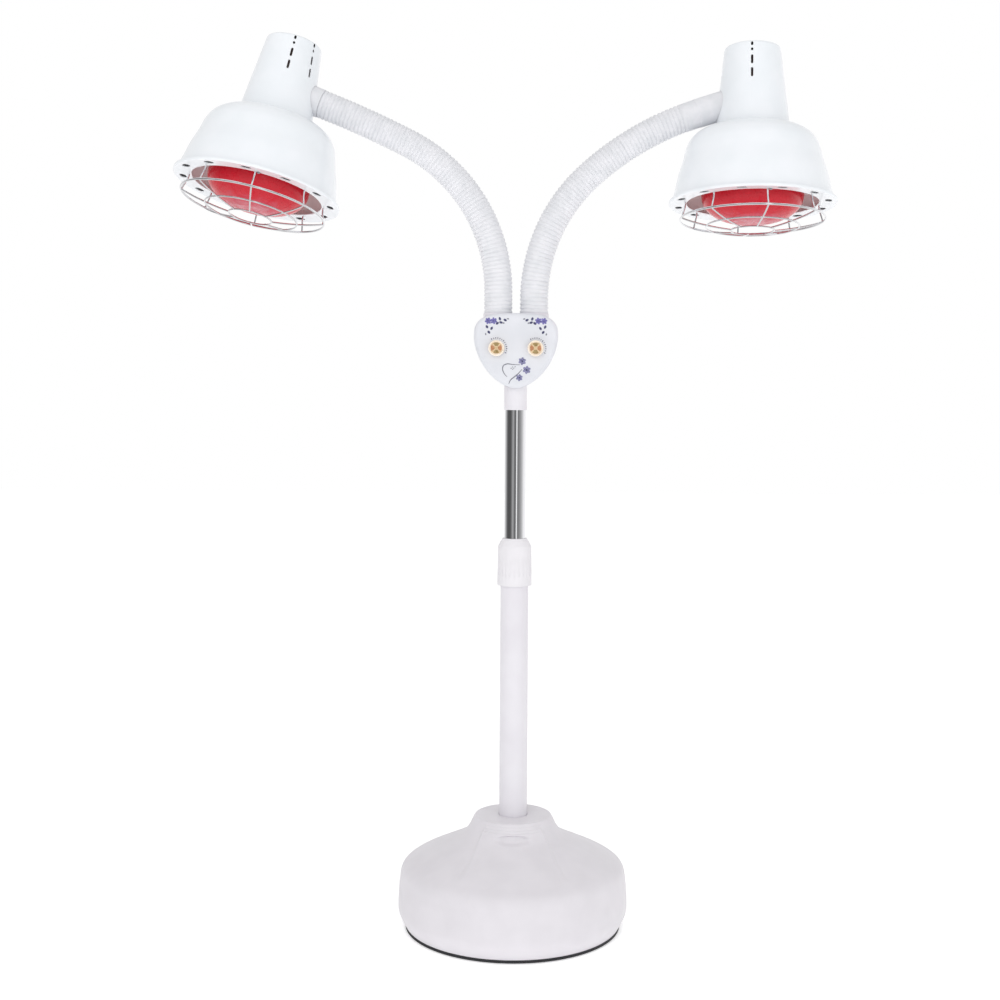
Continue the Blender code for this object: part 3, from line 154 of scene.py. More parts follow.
def print_ink(name, low, high):
    """Pad-printed ink: matte, its tone slightly uneven."""
    return surface(name, (low, high), 1.6 * MM, (0.45, 0.6))


ENAMEL = stoved_enamel("stoved_enamel", "ebeff3", "eff2f6")
# Inside of the bells: a warmer copy of the enamel with a faint glow of its own, painted light
ENAMEL_INSIDE_PAINTED_LIGHT = stoved_enamel("stoved_enamel_inside", "e8e2e3", "f2edee", 0.08)
# Near-black enamel for the cap's inside and its slot walls: painted shade
ENAMEL_PAINTED_SHADE = stoved_enamel("painted_shade_enamel", "1c1a1a", "2a2727")
ABS = moulded_abs("moulded_abs", "e5e3e7", "ebe9ed")
BASE_ABS = moulded_abs("moulded_abs_base", "dedbe0", "e2dfe4")
BOX_ABS = moulded_abs("moulded_abs_box", "dbdde3", "e1e2e8")
# Powder coat on steel tube: a fine even texture, drawn 1.5 mm wide
POWDER = surface("powder_coat", ("e2dfe5", "e8e6eb"), 80.0 * MM, (0.28, 0.4), 1.5 * MM, 0.03 * MM, True)
# Plasticised PVC sleeve: satin, slightly uneven in gloss and faintly translucent
VINYL = surface("soft_vinyl", ("dedfe3", "e6e6ea"), 18.0 * MM, (0.42, 0.58), 0.9 * MM, 0.03 * MM,
                Subsurface_Weight=0.05, Subsurface_Radius=(2.0 * MM, 2.0 * MM, 2.0 * MM))
# Decorative chrome plate on tube and wire: mirror bright, with faint draw lines
CHROME = drawn_metal("bright_chrome", "e2e2e5", "ececee", 0.07, (1.0, 1.0, 0.02))
# Zinc-plated steel of screws, bolts and plate: light grey, satin
ZINC = drawn_metal("zinc_steel", "9da1a8", "b9bcc2", 0.34, (1.0, 1.0, 1.0))
# Turned brass of shafts and bulb caps: yellow, with fine lines round it
BRASS = drawn_metal("yellow_brass", "c29c55", "d9b872", 0.28, (0.1, 0.1, 1.0))
# Gilt of the knobs' caps: pale gilt on rim and ridges, and two darker copies for the sunk fields, olive
# above and below and orange at the sides, which are painted shade
GILT_LIGHT = gilt_metal("gilt_ridge", "e6c799", "f0d7b3")
GILT_PAINTED_SHADE_ENDS = gilt_metal("gilt_painted_shade_ends", "ad9262", "bba377")
GILT_PAINTED_SHADE_SIDES = gilt_metal("gilt_painted_shade_sides", "cb8c62", "d89e79")
# Ivory urea moulding of the knobs: glossy, slightly warm
IVORY = surface("ivory_urea", ("f6e7d3", "fbf1e4"), 8.0 * MM, (0.22, 0.34), 0.8 * MM, 0.02 * MM, True,
                Coat_Weight=0.2)
# Ruby-stained reflector bulb: saturated red, a little paler towards its front, with a faint glow of its own
# in that tone, which is painted light
RUBY = surface("ruby_glass", ("b8747e", "b93a4d", "bb1428", "a80818"), 14.0 * MM, (0.22, 0.34),
               relief=0.2 * MM, detail=3.0, places=(0.035, 0.065, 0.10, 0.5), painted_glow_glass=True,
               Emission_Strength=0.2, Specular_IOR_Level=0.35, Coat_Weight=0.15, Coat_Roughness=0.08)
# Glazed porcelain of the lampholders: cream white, shiny
PORCELAIN = surface("fired_porcelain", ("e6e2d8", "f1eee6"), 10.0 * MM, (0.18, 0.3))
# Nitrile rubber of the foot, gland and the dark parts inside, and also painted shade behind the ring's slots
# and painted shadow under the base's foot band: matte, a fine dusty grain
RUBBER = surface("black_rubber", ("242427", "343438"), 1.4 * MM, (0.65, 0.85), relief=0.06 * MM)
# Painted grey iron of the weight: rough sand-cast skin, grains about 2.5 mm wide
IRON = surface("cast_iron", ("2e2f31", "454648"), 2.5 * MM, (0.55, 0.8), relief=0.3 * MM, detail=4.0,
               Metallic=0.5)
# Natural nylon of the bushes: off-white, waxy
NYLON = surface("natural_nylon", ("d8d5c9", "e4e1d6"), 6.0 * MM, (0.45, 0.6))
# Green glass-epoxy laminate of the control board, mottled at its weave's 0.8 mm
LAMINATE = surface("board_laminate", ("0f5a30", "1b7040"), 0.8 * MM, (0.35, 0.5))
INDIGO = print_ink("indigo_ink", "534e93", "8a85c2")
VIOLET = print_ink("violet_ink", "6d6c92", "9a99bd")
NAVY = print_ink("navy_ink", "32324f", "54547e")
GREY_INK = print_ink("grey_ink", "63646f", "8b8c98")


# Mesh helpers

SHARP_ANGLE = 35.0
SIDES = 128
# Stands an outline up: its X goes round the object, its Y up and its depth outwards
UPRIGHT = Matrix(((0, 0, 1, 0), (1, 0, 0, 0), (0, 1, 0, 0), (0, 0, 0, 1)))


def new_object(name, data):
    """An object with its data, in the scene."""
    obj = bpy.data.objects.new(name, data)
    bpy.context.scene.collection.objects.link(obj)
    return obj


def add_piece(name, bm, material, body=None, sharp_angle=SHARP_ANGLE, fix=True):
    """Turn a bmesh into a piece that rides on a body."""
    if fix:
        bmesh.ops.recalc_face_normals(bm, faces=bm.faces)
    mesh = bpy.data.meshes.new(name)
    bm.to_mesh(mesh)
    bm.free()
    mesh.shade_smooth()
    mesh.set_sharp_from_angle(angle=math.radians(sharp_angle))
    mesh.materials.append(material)
    obj = new_object(name, mesh)
    if body is not None:
        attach(obj, body)
    return obj


def skin(bm, rings, closed):
    """Join rings of equal count by quads, and shut the ends unless they meet."""
    sides = len(rings[0])
    loops = [[bm.verts.new(point) for point in ring] for ring in rings]
    pairs = list(zip(loops, loops[1:]))
    if closed:
        pairs.append((loops[-1], loops[0]))
    for low, high in pairs:
        for i in range(sides):
            j = (i + 1) % sides
            bm.faces.new((low[i], low[j], high[j], high[i]))
    if not closed:
        bm.faces.new(loops[0])
        bm.faces.new(loops[-1])


def ring_points(radius, height, sides):
    """Points round the Z axis at a height."""
    step = FULL_TURN / sides
    return [Vector((radius * math.cos(i * step), radius * math.sin(i * step), height)) for i in range(sides)]


def turned(outline, sides, closed, matrix=None, bm=None):
    """A turned body: outline is (radius, height) points."""
    bm = bm or bmesh.new()
    matrix = matrix or Matrix.Identity(4)
    skin(bm, [[matrix @ p for p in ring_points(r, h, sides)] for r, h in outline], closed)
    return bm


def curve_through(points, steps):
    """Points of a smooth curve through the given ones (Catmull-Rom)."""
    points = [Vector(p) for p in points]
    made = []
    for i in range(len(points) - 1):
        a = points[max(i - 1, 0)]
        b, c = points[i], points[i + 1]
        d = points[min(i + 2, len(points) - 1)]
        for k in range(steps):
            t = k / steps
            made.append(0.5 * ((2.0 * b) + (c - a) * t + (2.0 * a - 5.0 * b + 4.0 * c - d) * t * t
                               + (3.0 * b - a - 3.0 * c + d) * t ** 3))
    made.append(points[-1])
    return made


def offset_outline(outline, wall):
    """A turned outline moved inwards by the wall's thickness."""
    inner = []
    for i, (radius, height) in enumerate(outline):
        before = outline[max(i - 1, 0)]
        after = outline[min(i + 1, len(outline) - 1)]
        along = Vector((after[0] - before[0], after[1] - before[1])).normalized()
        inner.append((radius - wall * along.y, height + wall * along.x))
    return inner


def quarter_round(steps):
    """Cosine and sine over a quarter turn."""
    turns = [QUARTER_TURN * k / steps for k in range(steps + 1)]
    return [(math.cos(turn), math.sin(turn)) for turn in turns]


def sweep(bm, points, radius, sides, closed, side, matrix):
    """A round wire swept through points, carried without twist from one side direction."""
    last = len(points) - 1
    step = FULL_TURN / sides
    rings = []
    for i, point in enumerate(points):
        if closed:
            before, after = points[i - 1], points[(i + 1) % len(points)]
        else:
            before, after = points[max(i - 1, 0)], points[min(i + 1, last)]
        along = (after - before).normalized()
        side = (side - along * side.dot(along)).normalized()
        up = side.cross(along)
        rings.append([matrix @ (point + (side * math.cos(j * step) + up * math.sin(j * step)) * radius)
                      for j in range(sides)])
    skin(bm, rings, closed)


def around(count, radius, height=0.0, phase=0.0):
    """Places spread evenly round the Z axis, each facing outwards along its own X."""
    outwards = Matrix.Translation((radius, 0.0, height))
    return [Matrix.Rotation(phase + FULL_TURN * i / count, 4, "Z") @ outwards for i in range(count)]


def facing(direction, point):
    """A place at a point whose own Z looks along a direction."""
    turn = Vector(direction).to_track_quat("Z", "Y").to_matrix().to_4x4()
    return Matrix.Translation(point) @ turn


def prism(bm, outline, low, high, matrix):
    """A plate of an outline given in X and Y, between two heights."""
    skin(bm, [[matrix @ Vector((x, y, z)) for x, y in outline] for z in (low, high)], False)


def pill(width, length, steps):
    """Outline of a slot with round ends, long in Y."""
    radius = width / 2.0
    reach = max(length / 2.0 - radius, 0.0)
    points = []
    for sign, start in ((1.0, 0.0), (-1.0, math.pi)):
        for i in range(steps + 1):
            turn = start + math.pi * i / steps
            points.append((radius * math.cos(turn), sign * reach + radius * math.sin(turn)))
    return points


def carve(obj, cutter_bm):
    """Cut holes into a piece for good."""
    mesh = bpy.data.meshes.new("cutter")
    bmesh.ops.recalc_face_normals(cutter_bm, faces=cutter_bm.faces)
    cutter_bm.to_mesh(mesh)
    cutter_bm.free()
    cutter = new_object("cutter", mesh)
    modifier = obj.modifiers.new("holes", "BOOLEAN")
    modifier.operation = "DIFFERENCE"
    modifier.solver = "EXACT"
    modifier.object = cutter
    bpy.context.view_layer.update()
    depsgraph = bpy.context.evaluated_depsgraph_get()
    made = bpy.data.meshes.new_from_object(obj.evaluated_get(depsgraph))
    obj.modifiers.clear()
    obj.data = made
    made.shade_smooth()
    made.set_sharp_from_angle(angle=math.radians(SHARP_ANGLE))
    bpy.data.objects.remove(cutter, do_unlink=True)


# CAD nodes that stay: only their material changes

def paint(name, material):
    """Give a CAD node its material."""
    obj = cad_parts[name]
    obj.data.materials.clear()
    obj.data.materials.append(material)


STAY = {
    "floor_pad": RUBBER, "base_plate": ZINC, "base_ballast": IRON, "base_bolt_1": ZINC, "base_bolt_2": ZINC,
    "column_socket": ZINC, "collet": NYLON, "cable_inlet": RUBBER, "glide_bush": NYLON, "box_screw_1": ZINC,
    "box_screw_2": ZINC, "control_board": LAMINATE, "terminal_block": RUBBER,
}
for hand in ("left", "right"):
    STAY.update({
        "dimmer_" + hand: RUBBER, "dimmer_shaft_" + hand: BRASS, "lampholder_" + hand: PORCELAIN,
        "bulb_base_" + hand: BRASS,
    })
for node_name, node_material in STAY.items():
    paint(node_name, node_material)


# Stand: outlines are radius and height

FOOT_HEIGHT = 0.0058
COVER_OUTLINE = (
    (0.1928, FOOT_HEIGHT), (0.2005, 0.0195), (0.2058, 0.0340), (0.2052, 0.0630), (0.2035, 0.0850),
    (0.1985, 0.1065), (0.1790, 0.1210), (0.1490, 0.1355), (0.1170, 0.1500), (0.0906, 0.1640),
    (0.0800, 0.1760), (0.0760, 0.1835), (0.0732, 0.1890), (0.0708, 0.1938), (0.0690, 0.1966),
    (0.0668, 0.1978), (0.0640, 0.1980),
)
COVER_TOP, COVER_LIP, COVER_WALL, COVER_SIDES = 0.1980, 0.1952, 2.6 * MM, 360
# Above this height, steps longer than this are split in three, for the ledges and the recess
FINE_FROM, FINE_STEP, FINE_PARTS = 0.160, 0.9 * MM, 3
# Heights on the raised front panel, and its half width there
PANEL = ((0.118, 0.100), (0.128, 0.088), (0.146, 0.072), (0.168, 0.059), (0.198, 0.045))
PANEL_LIFT, PANEL_SOFT, PANEL_FADE = 3.6 * MM, 3.2 * MM, 14.0 * MM
LEDGES, LEDGE_DROP, LEDGE_SOFT = (0.1835, 0.1880, 0.1925), 1.2 * MM, 0.8 * MM
RECESS_PLACE, RECESS_HALF, RECESS_DEPTH = (0.080, 0.1735), (0.0340, 0.0105), 5.0 * MM
RECESS_FLATTEN, RECESS_SOFT = 1.2, 0.45
TUBE_RADIUS, TUBE_BORE, TUBE_FOOT, TUBE_TOP, TUBE_SIDES = 0.0253, 0.0220, 0.0090, 0.6400, 64


def smooth(value):
    """An even step from 0 to 1."""
    value = min(max(value, 0.0), 1.0)
    return value * value * (3.0 - 2.0 * value)


def across_table(table, at):
    """Value of a table of (place, value) at a place."""
    for (low, first), (high, second) in zip(table, table[1:]):
        if at <= high:
            return first + (second - first) * max(0.0, (at - low) / (high - low))
    return table[-1][1]


def front_relief(point):
    """How far the cover's front stands out from its round form: panel, ledges and recess."""
    panel_foot = PANEL[0][0]
    if point.y >= 0.0 or point.z < panel_foot - PANEL_FADE:
        return 0.0
    inside = smooth((across_table(PANEL, point.z) - abs(point.x)) / PANEL_SOFT + 0.5)
    lift = PANEL_LIFT * smooth((point.z - panel_foot) / PANEL_FADE)
    for height in LEDGES:
        lift -= LEDGE_DROP * smooth((point.z - height) / LEDGE_SOFT + 0.5)
    turn = math.atan2(point.x, -point.y) * RECESS_PLACE[0] / RECESS_HALF[0]
    rise = (point.z - RECESS_PLACE[1]) * RECESS_FLATTEN / RECESS_HALF[1]
    return inside * lift - RECESS_DEPTH * smooth((1.0 - math.hypot(turn, rise)) / RECESS_SOFT)


def build_base():
    """The base's white shell, a dark foot band that is the rubber foot and painted shadow under it, and the
    outer tube.
    """
    coarse = [(p.x, p.y) for p in curve_through(COVER_OUTLINE, 6)]
    outer = [coarse[0]]
    for low, high in zip(coarse, coarse[1:]):
        parts = FINE_PARTS if low[1] > FINE_FROM and high[1] - low[1] > FINE_STEP else 1
        outer.extend((low[0] + (high[0] - low[0]) * k / parts, low[1] + (high[1] - low[1]) * k / parts)
                     for k in range(1, parts + 1))
    inner = offset_outline(coarse, COVER_WALL)
    hole = TUBE_RADIUS + 0.4 * MM
    section = outer + [(hole + 1.2 * MM, COVER_TOP), (hole, COVER_TOP - 1.0 * MM), (hole, COVER_LIP)]
    section += [(inner[-1][0] - 2.0 * MM, COVER_LIP)] + inner[::-5][1:]
    section += [(0.1875, 0.0110), (0.1875, FOOT_HEIGHT)]
    bm = turned(section, COVER_SIDES, True)
    for vert in bm.verts:
        radius = math.hypot(vert.co.x, vert.co.y)
        lift = front_relief(vert.co) if radius > hole + 2.0 * MM else 0.0
        if lift:
            vert.co.x *= 1.0 + lift / radius
            vert.co.y *= 1.0 + lift / radius
    base = add_piece("base_shell", bm, BASE_ABS, "stand", 30.0)
    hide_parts("base_cover")
    # Dark rubber band round the foot, made taller than the foot pad so that it also paints the shadow in the
    # gap under the base
    add_piece("foot_band", turned([
        (0.1905, 0.3 * MM), (0.1932, 0.8 * MM), (0.1934, FOOT_HEIGHT - 0.2 * MM),
        (0.1905, FOOT_HEIGHT - 0.2 * MM)], SIDES * 2, True), RUBBER, "stand")
    column = add_piece("column_tube", turned([
        (TUBE_RADIUS, TUBE_FOOT), (TUBE_RADIUS, TUBE_TOP - 1.0 * MM), (TUBE_RADIUS - 0.8 * MM, TUBE_TOP),
        (TUBE_BORE, TUBE_TOP), (TUBE_BORE - 0.2 * MM, TUBE_FOOT)], TUBE_SIDES, True), POWDER, "stand")
    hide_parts("outer_tube")


# Lock collar

COLLAR_FOOT, COLLAR_SHOULDER, COLLAR_TOP, COLLAR_BORE = 0.6120, 0.6840, 0.6970, 0.0257
COLLAR_OUTLINE = (
    (0.0298, COLLAR_FOOT), (0.0308, COLLAR_FOOT + 0.4 * MM), (0.0312, COLLAR_FOOT + 1.4 * MM),
    (0.0302, COLLAR_SHOULDER - 1.0 * MM), (0.0298, COLLAR_SHOULDER), (0.0246, COLLAR_TOP - 3.6 * MM),
    (0.0236, COLLAR_TOP - 3.2 * MM), (0.0232, COLLAR_TOP - 0.8 * MM), (0.0226, COLLAR_TOP),
    (0.0196, COLLAR_TOP), (0.0195, COLLAR_TOP - 4.0 * MM), (0.0222, COLLAR_TOP - 6.0 * MM),
    (COLLAR_BORE, COLLAR_SHOULDER - 44.0 * MM), (COLLAR_BORE, COLLAR_FOOT),
)
FLUTES, FLUTE_RADIUS, FLUTE_WIDTH, FLUTE_LENGTH, FLUTE_DEPTH = 24, 0.0312, 2.4 * MM, 36.0 * MM, 0.9 * MM


def build_collar():
    """The twist lock with its finger flutes."""
    collar = add_piece("grip_collar", turned(COLLAR_OUTLINE, SIDES, True), ABS, "lock_collar")
    cutter = bmesh.new()
    middle = (COLLAR_FOOT + COLLAR_SHOULDER) / 2.0
    for place in around(FLUTES, FLUTE_RADIUS, middle):
        prism(cutter, pill(FLUTE_WIDTH, FLUTE_LENGTH, 5), -FLUTE_DEPTH, 2.0 * MM, place @ UPRIGHT)
    carve(collar, cutter)
    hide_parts("lock_collar")


# Mast

PIPE_OUTLINE = ((0.0190, 0.3850), (0.0190, 1.0095), (0.0186, 1.0100), (0.0172, 1.0100), (0.0170, 0.3850))
SLEEVE_OUTLINE = ((0.0201, 0.9290), (0.0206, 0.9296), (0.0206, 0.9875), (0.0196, 0.9880), (0.0195, 0.9290))


def build_mast():
    """The chrome tube and the short white sleeve under the box."""
    pipe = add_piece("chrome_tube", turned(PIPE_OUTLINE, TUBE_SIDES, True), CHROME, "mast")
    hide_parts("inner_tube")
    sleeve = add_piece("mast_collar", turned(SLEEVE_OUTLINE, TUBE_SIDES, True), POWDER, "mast")
    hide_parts("mast_sleeve")


# Control box

BOX_HALF_WIDTH, BOX_CENTRE, BOX_RISE, BOX_DROP = 0.0755, 1.060, 0.043, 0.092
BOX_DEPTH, BOX_EDGE, BOX_WALL, BOX_POINTS = 0.076, 0.009, 0.003, 160
# Roundness of the box's shoulders and of its pointed lower half
BOX_SHOULDER_POWER, BOX_TIP_POWER = 3.0, 1.75
KNOB_X, KNOB_Z, SCREW_X, SCREW_Z = 0.035, 1.0395, 0.0529, 1.0508
NECK_OFFSET, NECK_HOLE, SHAFT_HOLE, SCREW_HOLE, SLEEVE_HOLE = 0.0325, 0.0272, 0.0040, 0.0024, 0.0210
NUT_LIP = 1.1040
NUT_OUTLINE = (
    (0.0266, 1.0720), (0.0266, 1.0790), (0.0298, 1.0790), (0.0298, 1.0856), (0.0266, 1.0856),
    (0.0267, 1.1030), (0.0262, NUT_LIP), (0.0222, NUT_LIP), (0.0218, NUT_LIP - 0.6 * MM), (0.0218, 1.0720),
)


def box_outline(inset):
    """The heart shape of the box as (x, z) points, drawn in by an inset."""
    points = []
    for i in range(BOX_POINTS):
        turn = FULL_TURN * (i + 0.5) / BOX_POINTS
        across, up = math.cos(turn), math.sin(turn)
        reach, power = (BOX_RISE, BOX_SHOULDER_POWER) if up > 0.0 else (BOX_DROP, BOX_TIP_POWER)
        x = math.copysign(abs(across) ** (2.0 / power), across) * (BOX_HALF_WIDTH - inset)
        z = math.copysign(abs(up) ** (2.0 / power), up) * (reach - inset)
        points.append((x, BOX_CENTRE + z))
    return points


def box_half(front):
    """One half of the control box: an open dish with a rounded edge and a seam at its rim."""
    sign = -1.0 if front else 1.0
    half = BOX_DEPTH / 2.0
    levels = [(0.6 * MM, 0.2 * MM), (0.0, 0.9 * MM)]
    levels += [(BOX_EDGE * (1.0 - cosine), half - BOX_EDGE * (1.0 - sine))
               for cosine, sine in quarter_round(8)]
    inside = [(BOX_WALL + (BOX_EDGE - BOX_WALL) * 0.9, half - BOX_WALL), (BOX_WALL, half - BOX_EDGE),
              (BOX_WALL, 0.2 * MM)]
    bm = bmesh.new()
    loops = [[bm.verts.new((x, sign * y, z)) for x, z in box_outline(inset)] for inset, y in levels + inside]
    face_loop = len(levels) - 1
    for k in range(len(loops)):
        if k == face_loop:
            continue
        low, high = loops[k], loops[(k + 1) % len(loops)]
        for i in range(BOX_POINTS):
            j = (i + 1) % BOX_POINTS
            bm.faces.new((low[i], low[j], high[j], high[i]))
    bm.faces.new(loops[face_loop])
    bm.faces.new(loops[face_loop + 1])
    return bm


def build_box():
    """Both halves of the box with their holes, and the seats of the two necks."""
    half = BOX_DEPTH / 2.0
    for front, name, node in ((True, "box_face", "box_front"), (False, "box_rear", "box_back")):
        shell = add_piece(name, box_half(front), BOX_ABS, "mast")
        cutter = bmesh.new()
        for sign in (-1.0, 1.0):
            seat = Matrix.Translation((sign * NECK_OFFSET, 0.0, 0.0))
            turned([(NECK_HOLE, 1.0870), (NECK_HOLE, 1.1100)], 48, False, seat, cutter)
            if front:
                place = facing((0, 1, 0), (sign * KNOB_X, 0.0, KNOB_Z))
                turned([(SHAFT_HOLE, -half), (SHAFT_HOLE, 0.0)], 24, False, place, cutter)
            else:
                place = facing((0, 1, 0), (sign * SCREW_X, half / 2.0, SCREW_Z))
                turned([(SCREW_HOLE, 0.0), (SCREW_HOLE, half)], 16, False, place, cutter)
        turned([(SLEEVE_HOLE, 0.9400), (SLEEVE_HOLE, 0.9900)], 48, False, None, cutter)
        carve(shell, cutter)
        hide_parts(node)
    for sign, hand in ((-1.0, "left"), (1.0, "right")):
        nut = turned(NUT_OUTLINE, TUBE_SIDES, True, Matrix.Translation((sign * NECK_OFFSET, 0.0, 0.0)))
        piece = add_piece("seat_nut_" + hand, nut, POWDER, "mast")
        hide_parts("neck_nut_" + hand)


# Knobs

KNOB_SIDES = 96
KNOB_OUTLINE = (
    (0.0033, 0.0073), (0.0033, 0.0006), (0.0142, 0.0006), (0.0146, 0.0012), (0.0142, 0.0105),
    (0.0134, 0.0119), (0.0126, 0.0121), (0.0119, 0.0117), (0.0112, 0.0106),
)
# The gilt cap: share of its radius and height, from its edge to its middle
GILT_LEVELS = ((1.0, 0.0109), (1.0, 0.0124), (0.94, 0.0130), (0.86, 0.0131), (0.6, 0.0131), (0.34, 0.0131),
               (0.1, 0.0131))
GILT_RADIUS, LOBE_DEPTH, RIDGE_WIDTH, RIDGE_HEIGHT = 0.0107, 0.035, 0.42, 0.0007
FIELD_EDGE, FIELD_FROM, FIELD_TO = 0.40, 0.0030, 0.0099


def build_knob(sign, hand):
    """An ivory knob and its gilt cap, whose ridges cross between four sunk fields painted darker as shade.
    """
    face = facing((0.0, -1.0, 0.0), (sign * KNOB_X, -BOX_DEPTH / 2.0, KNOB_Z))
    body = "knob_" + hand
    knob = add_piece("knob_body_" + hand, turned(KNOB_OUTLINE, KNOB_SIDES, False, face), IVORY, body)
    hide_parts("knob_" + hand)
    rings = []
    for radius, height in GILT_LEVELS:
        ring = []
        for i in range(KNOB_SIDES):
            turn = FULL_TURN * i / KNOB_SIDES
            lobe = (1.0 - LOBE_DEPTH * (1.0 + math.cos(4.0 * turn))) * GILT_RADIUS * radius
            ridge = math.exp(-(math.cos(2.0 * turn) / RIDGE_WIDTH) ** 2) if 0.3 < radius < 0.9 else 0.0
            top = height + RIDGE_HEIGHT * (ridge - 1.0)
            ring.append(face @ Vector((math.cos(turn) * lobe, math.sin(turn) * lobe, top)))
        rings.append(ring)
    bm = bmesh.new()
    skin(bm, rings, False)
    cap = add_piece("knob_badge_" + hand, bm, GILT_LIGHT, body)
    cap.data.materials.append(GILT_PAINTED_SHADE_SIDES)
    cap.data.materials.append(GILT_PAINTED_SHADE_ENDS)
    # The sunk fields take the darker gilt, olive above and below and orange at the sides: painted shade
    back = face.inverted()
    for polygon in cap.data.polygons:
        centre = back @ polygon.center
        turn = math.atan2(centre.y, centre.x)
        reach = math.hypot(centre.x, centre.y)
        if abs(math.cos(2.0 * turn)) > FIELD_EDGE and FIELD_FROM < reach < FIELD_TO:
            polygon.material_index = 1 if abs(math.cos(turn)) > abs(math.sin(turn)) else 2
    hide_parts("knob_cap_" + hand)


# Printed ornament on the control box: sprigs of small flowers, leaves and dial ticks

# How far the first ink stands off the face, and each further one above it
PRINT_STAND, PRINT_STEP = 0.18 * MM, 0.02 * MM
# Millimetres across and up from the box's centre, then a flower's size and turn in radians, or a leaf's
# turn in degrees
CORNER_FLOWERS = ((49.8, 28.2, 12.2, 0.2), (39.8, 28.4, 12.2, 0.7))
CORNER_LEAVES = (
    (29.0, 32.0, 70.0), (27.0, 25.5, 20.0), (19.5, 29.8, 30.0), (52.0, 17.7, 60.0), (43.6, 15.0, 120.0),
    (48.5, 8.0, 50.0), (33.5, 24.0, 140.0),
)
CORNER_BUDS = ((14.5, 32.0, 15.0), (54.2, 4.5, 70.0), (22.5, 24.5, 0.0))
LOWER_FLOWERS = ((11.5, -43.5, 14.0), (19.5, -59.0, 14.5), (6.5, -73.0, 12.5))
LOWER_SEEDS = ((-6.0, -54.0), (-3.6, -56.0), (-8.4, -56.4), (-1.2, -53.5), (-5.6, -58.0))
SHORT_TWIG = ((-12.5, -84.0), (-9.0, -77.0), (-3.0, -72.0), (4.0, -66.0), (11.0, -58.0))
LONG_TWIG = ((8.0, -50.0), (-5.0, -49.5), (-15.0, -48.5), (-22.0, -51.5), (-23.5, -58.5), (-20.5, -66.0),
             (-15.5, -71.5))
TICKS, TICK_RING, TICK_START, TICK_STEP = 13, 18.4, 118.0, 12.0


def oval(place, long, wide, turn, steps=14, point=0.0):
    """Outline of an oval, drawn to a point at its ends where point is above zero."""
    made = []
    for i in range(steps):
        at = FULL_TURN * i / steps
        x = math.cos(at) * long / 2.0
        z = math.sin(at) * wide / 2.0 * (1.0 - point * abs(math.cos(at)) ** 3)
        made.append((place[0] + x * math.cos(turn) - z * math.sin(turn),
                     place[1] + x * math.sin(turn) + z * math.cos(turn)))
    return made


def stroke(points, width):
    """The two edges of a line through points, tapering to its ends."""
    line = curve_through([Vector((x, z, 0.0)) for x, z in points], 8)
    left, right = [], []
    for i, point in enumerate(line):
        along = (line[min(i + 1, len(line) - 1)] - line[max(i - 1, 0)]).normalized()
        reach = width / 2.0 * (0.45 + 0.55 * math.sin(math.pi * i / (len(line) - 1)))
        left.append((point.x - along.y * reach, point.y + along.x * reach))
        right.append((point.x + along.y * reach, point.y - along.x * reach))
    return left, right


def print_on_box(name, shapes, material, stand):
    """Print outlines on the box's front: each is a fan, or a strip of two edges."""
    mesh = bpy.data.objects["box_face"].data
    surface_tree = BVHTree.FromPolygons([v.co.copy() for v in mesh.vertices],
                                        [list(p.vertices) for p in mesh.polygons])
    bm = bmesh.new()

    def drop(x, z):
        hit = surface_tree.ray_cast(Vector((x, -0.2, z)), Vector((0.0, 1.0, 0.0)))
        if hit[0] is None:
            return None
        return hit[0] + hit[1].normalized() * math.copysign(stand, -hit[1].y)

    for shape in shapes:
        if isinstance(shape, tuple):
            rails = [[drop(x, z) for x, z in edge] for edge in shape]
            if any(p is None for rail in rails for p in rail):
                continue
            verts = [[bm.verts.new(p) for p in rail] for rail in rails]
            for i in range(len(verts[0]) - 1):
                bm.faces.new((verts[0][i], verts[0][i + 1], verts[1][i + 1], verts[1][i]))
            continue
        middle = (sum(x for x, z in shape) / len(shape), sum(z for x, z in shape) / len(shape))
        centre = drop(*middle)
        ring = [drop(x, z) for x, z in shape]
        half = [drop((x + middle[0]) / 2.0, (z + middle[1]) / 2.0) for x, z in shape]
        if centre is None or any(p is None for p in ring + half):
            continue
        hub = bm.verts.new(centre)
        inner = [bm.verts.new(p) for p in half]
        rim = [bm.verts.new(p) for p in ring]
        for i in range(len(rim)):
            j = (i + 1) % len(rim)
            bm.faces.new((hub, inner[i], inner[j]))
            bm.faces.new((inner[i], rim[i], rim[j], inner[j]))
    for face in bm.faces:
        face.normal_update()
        if face.normal.y > 0.0:
            face.normal_flip()
    add_piece(name, bm, material, "mast", fix=False)


def flower(place, size, turn):
    """Six petals round a small gap."""
    shapes = []
    for k in range(6):
        at = turn + math.pi / 3.0 * k
        middle = (place[0] + math.cos(at) * size * 0.29, place[1] + math.sin(at) * size * 0.29)
        shapes.append(oval(middle, size * 0.44, size * 0.32, at))
    return shapes


def on_face(x, up):
    """A place on the box's face from millimetres across and up from its centre."""
    return x * MM, BOX_CENTRE + up * MM


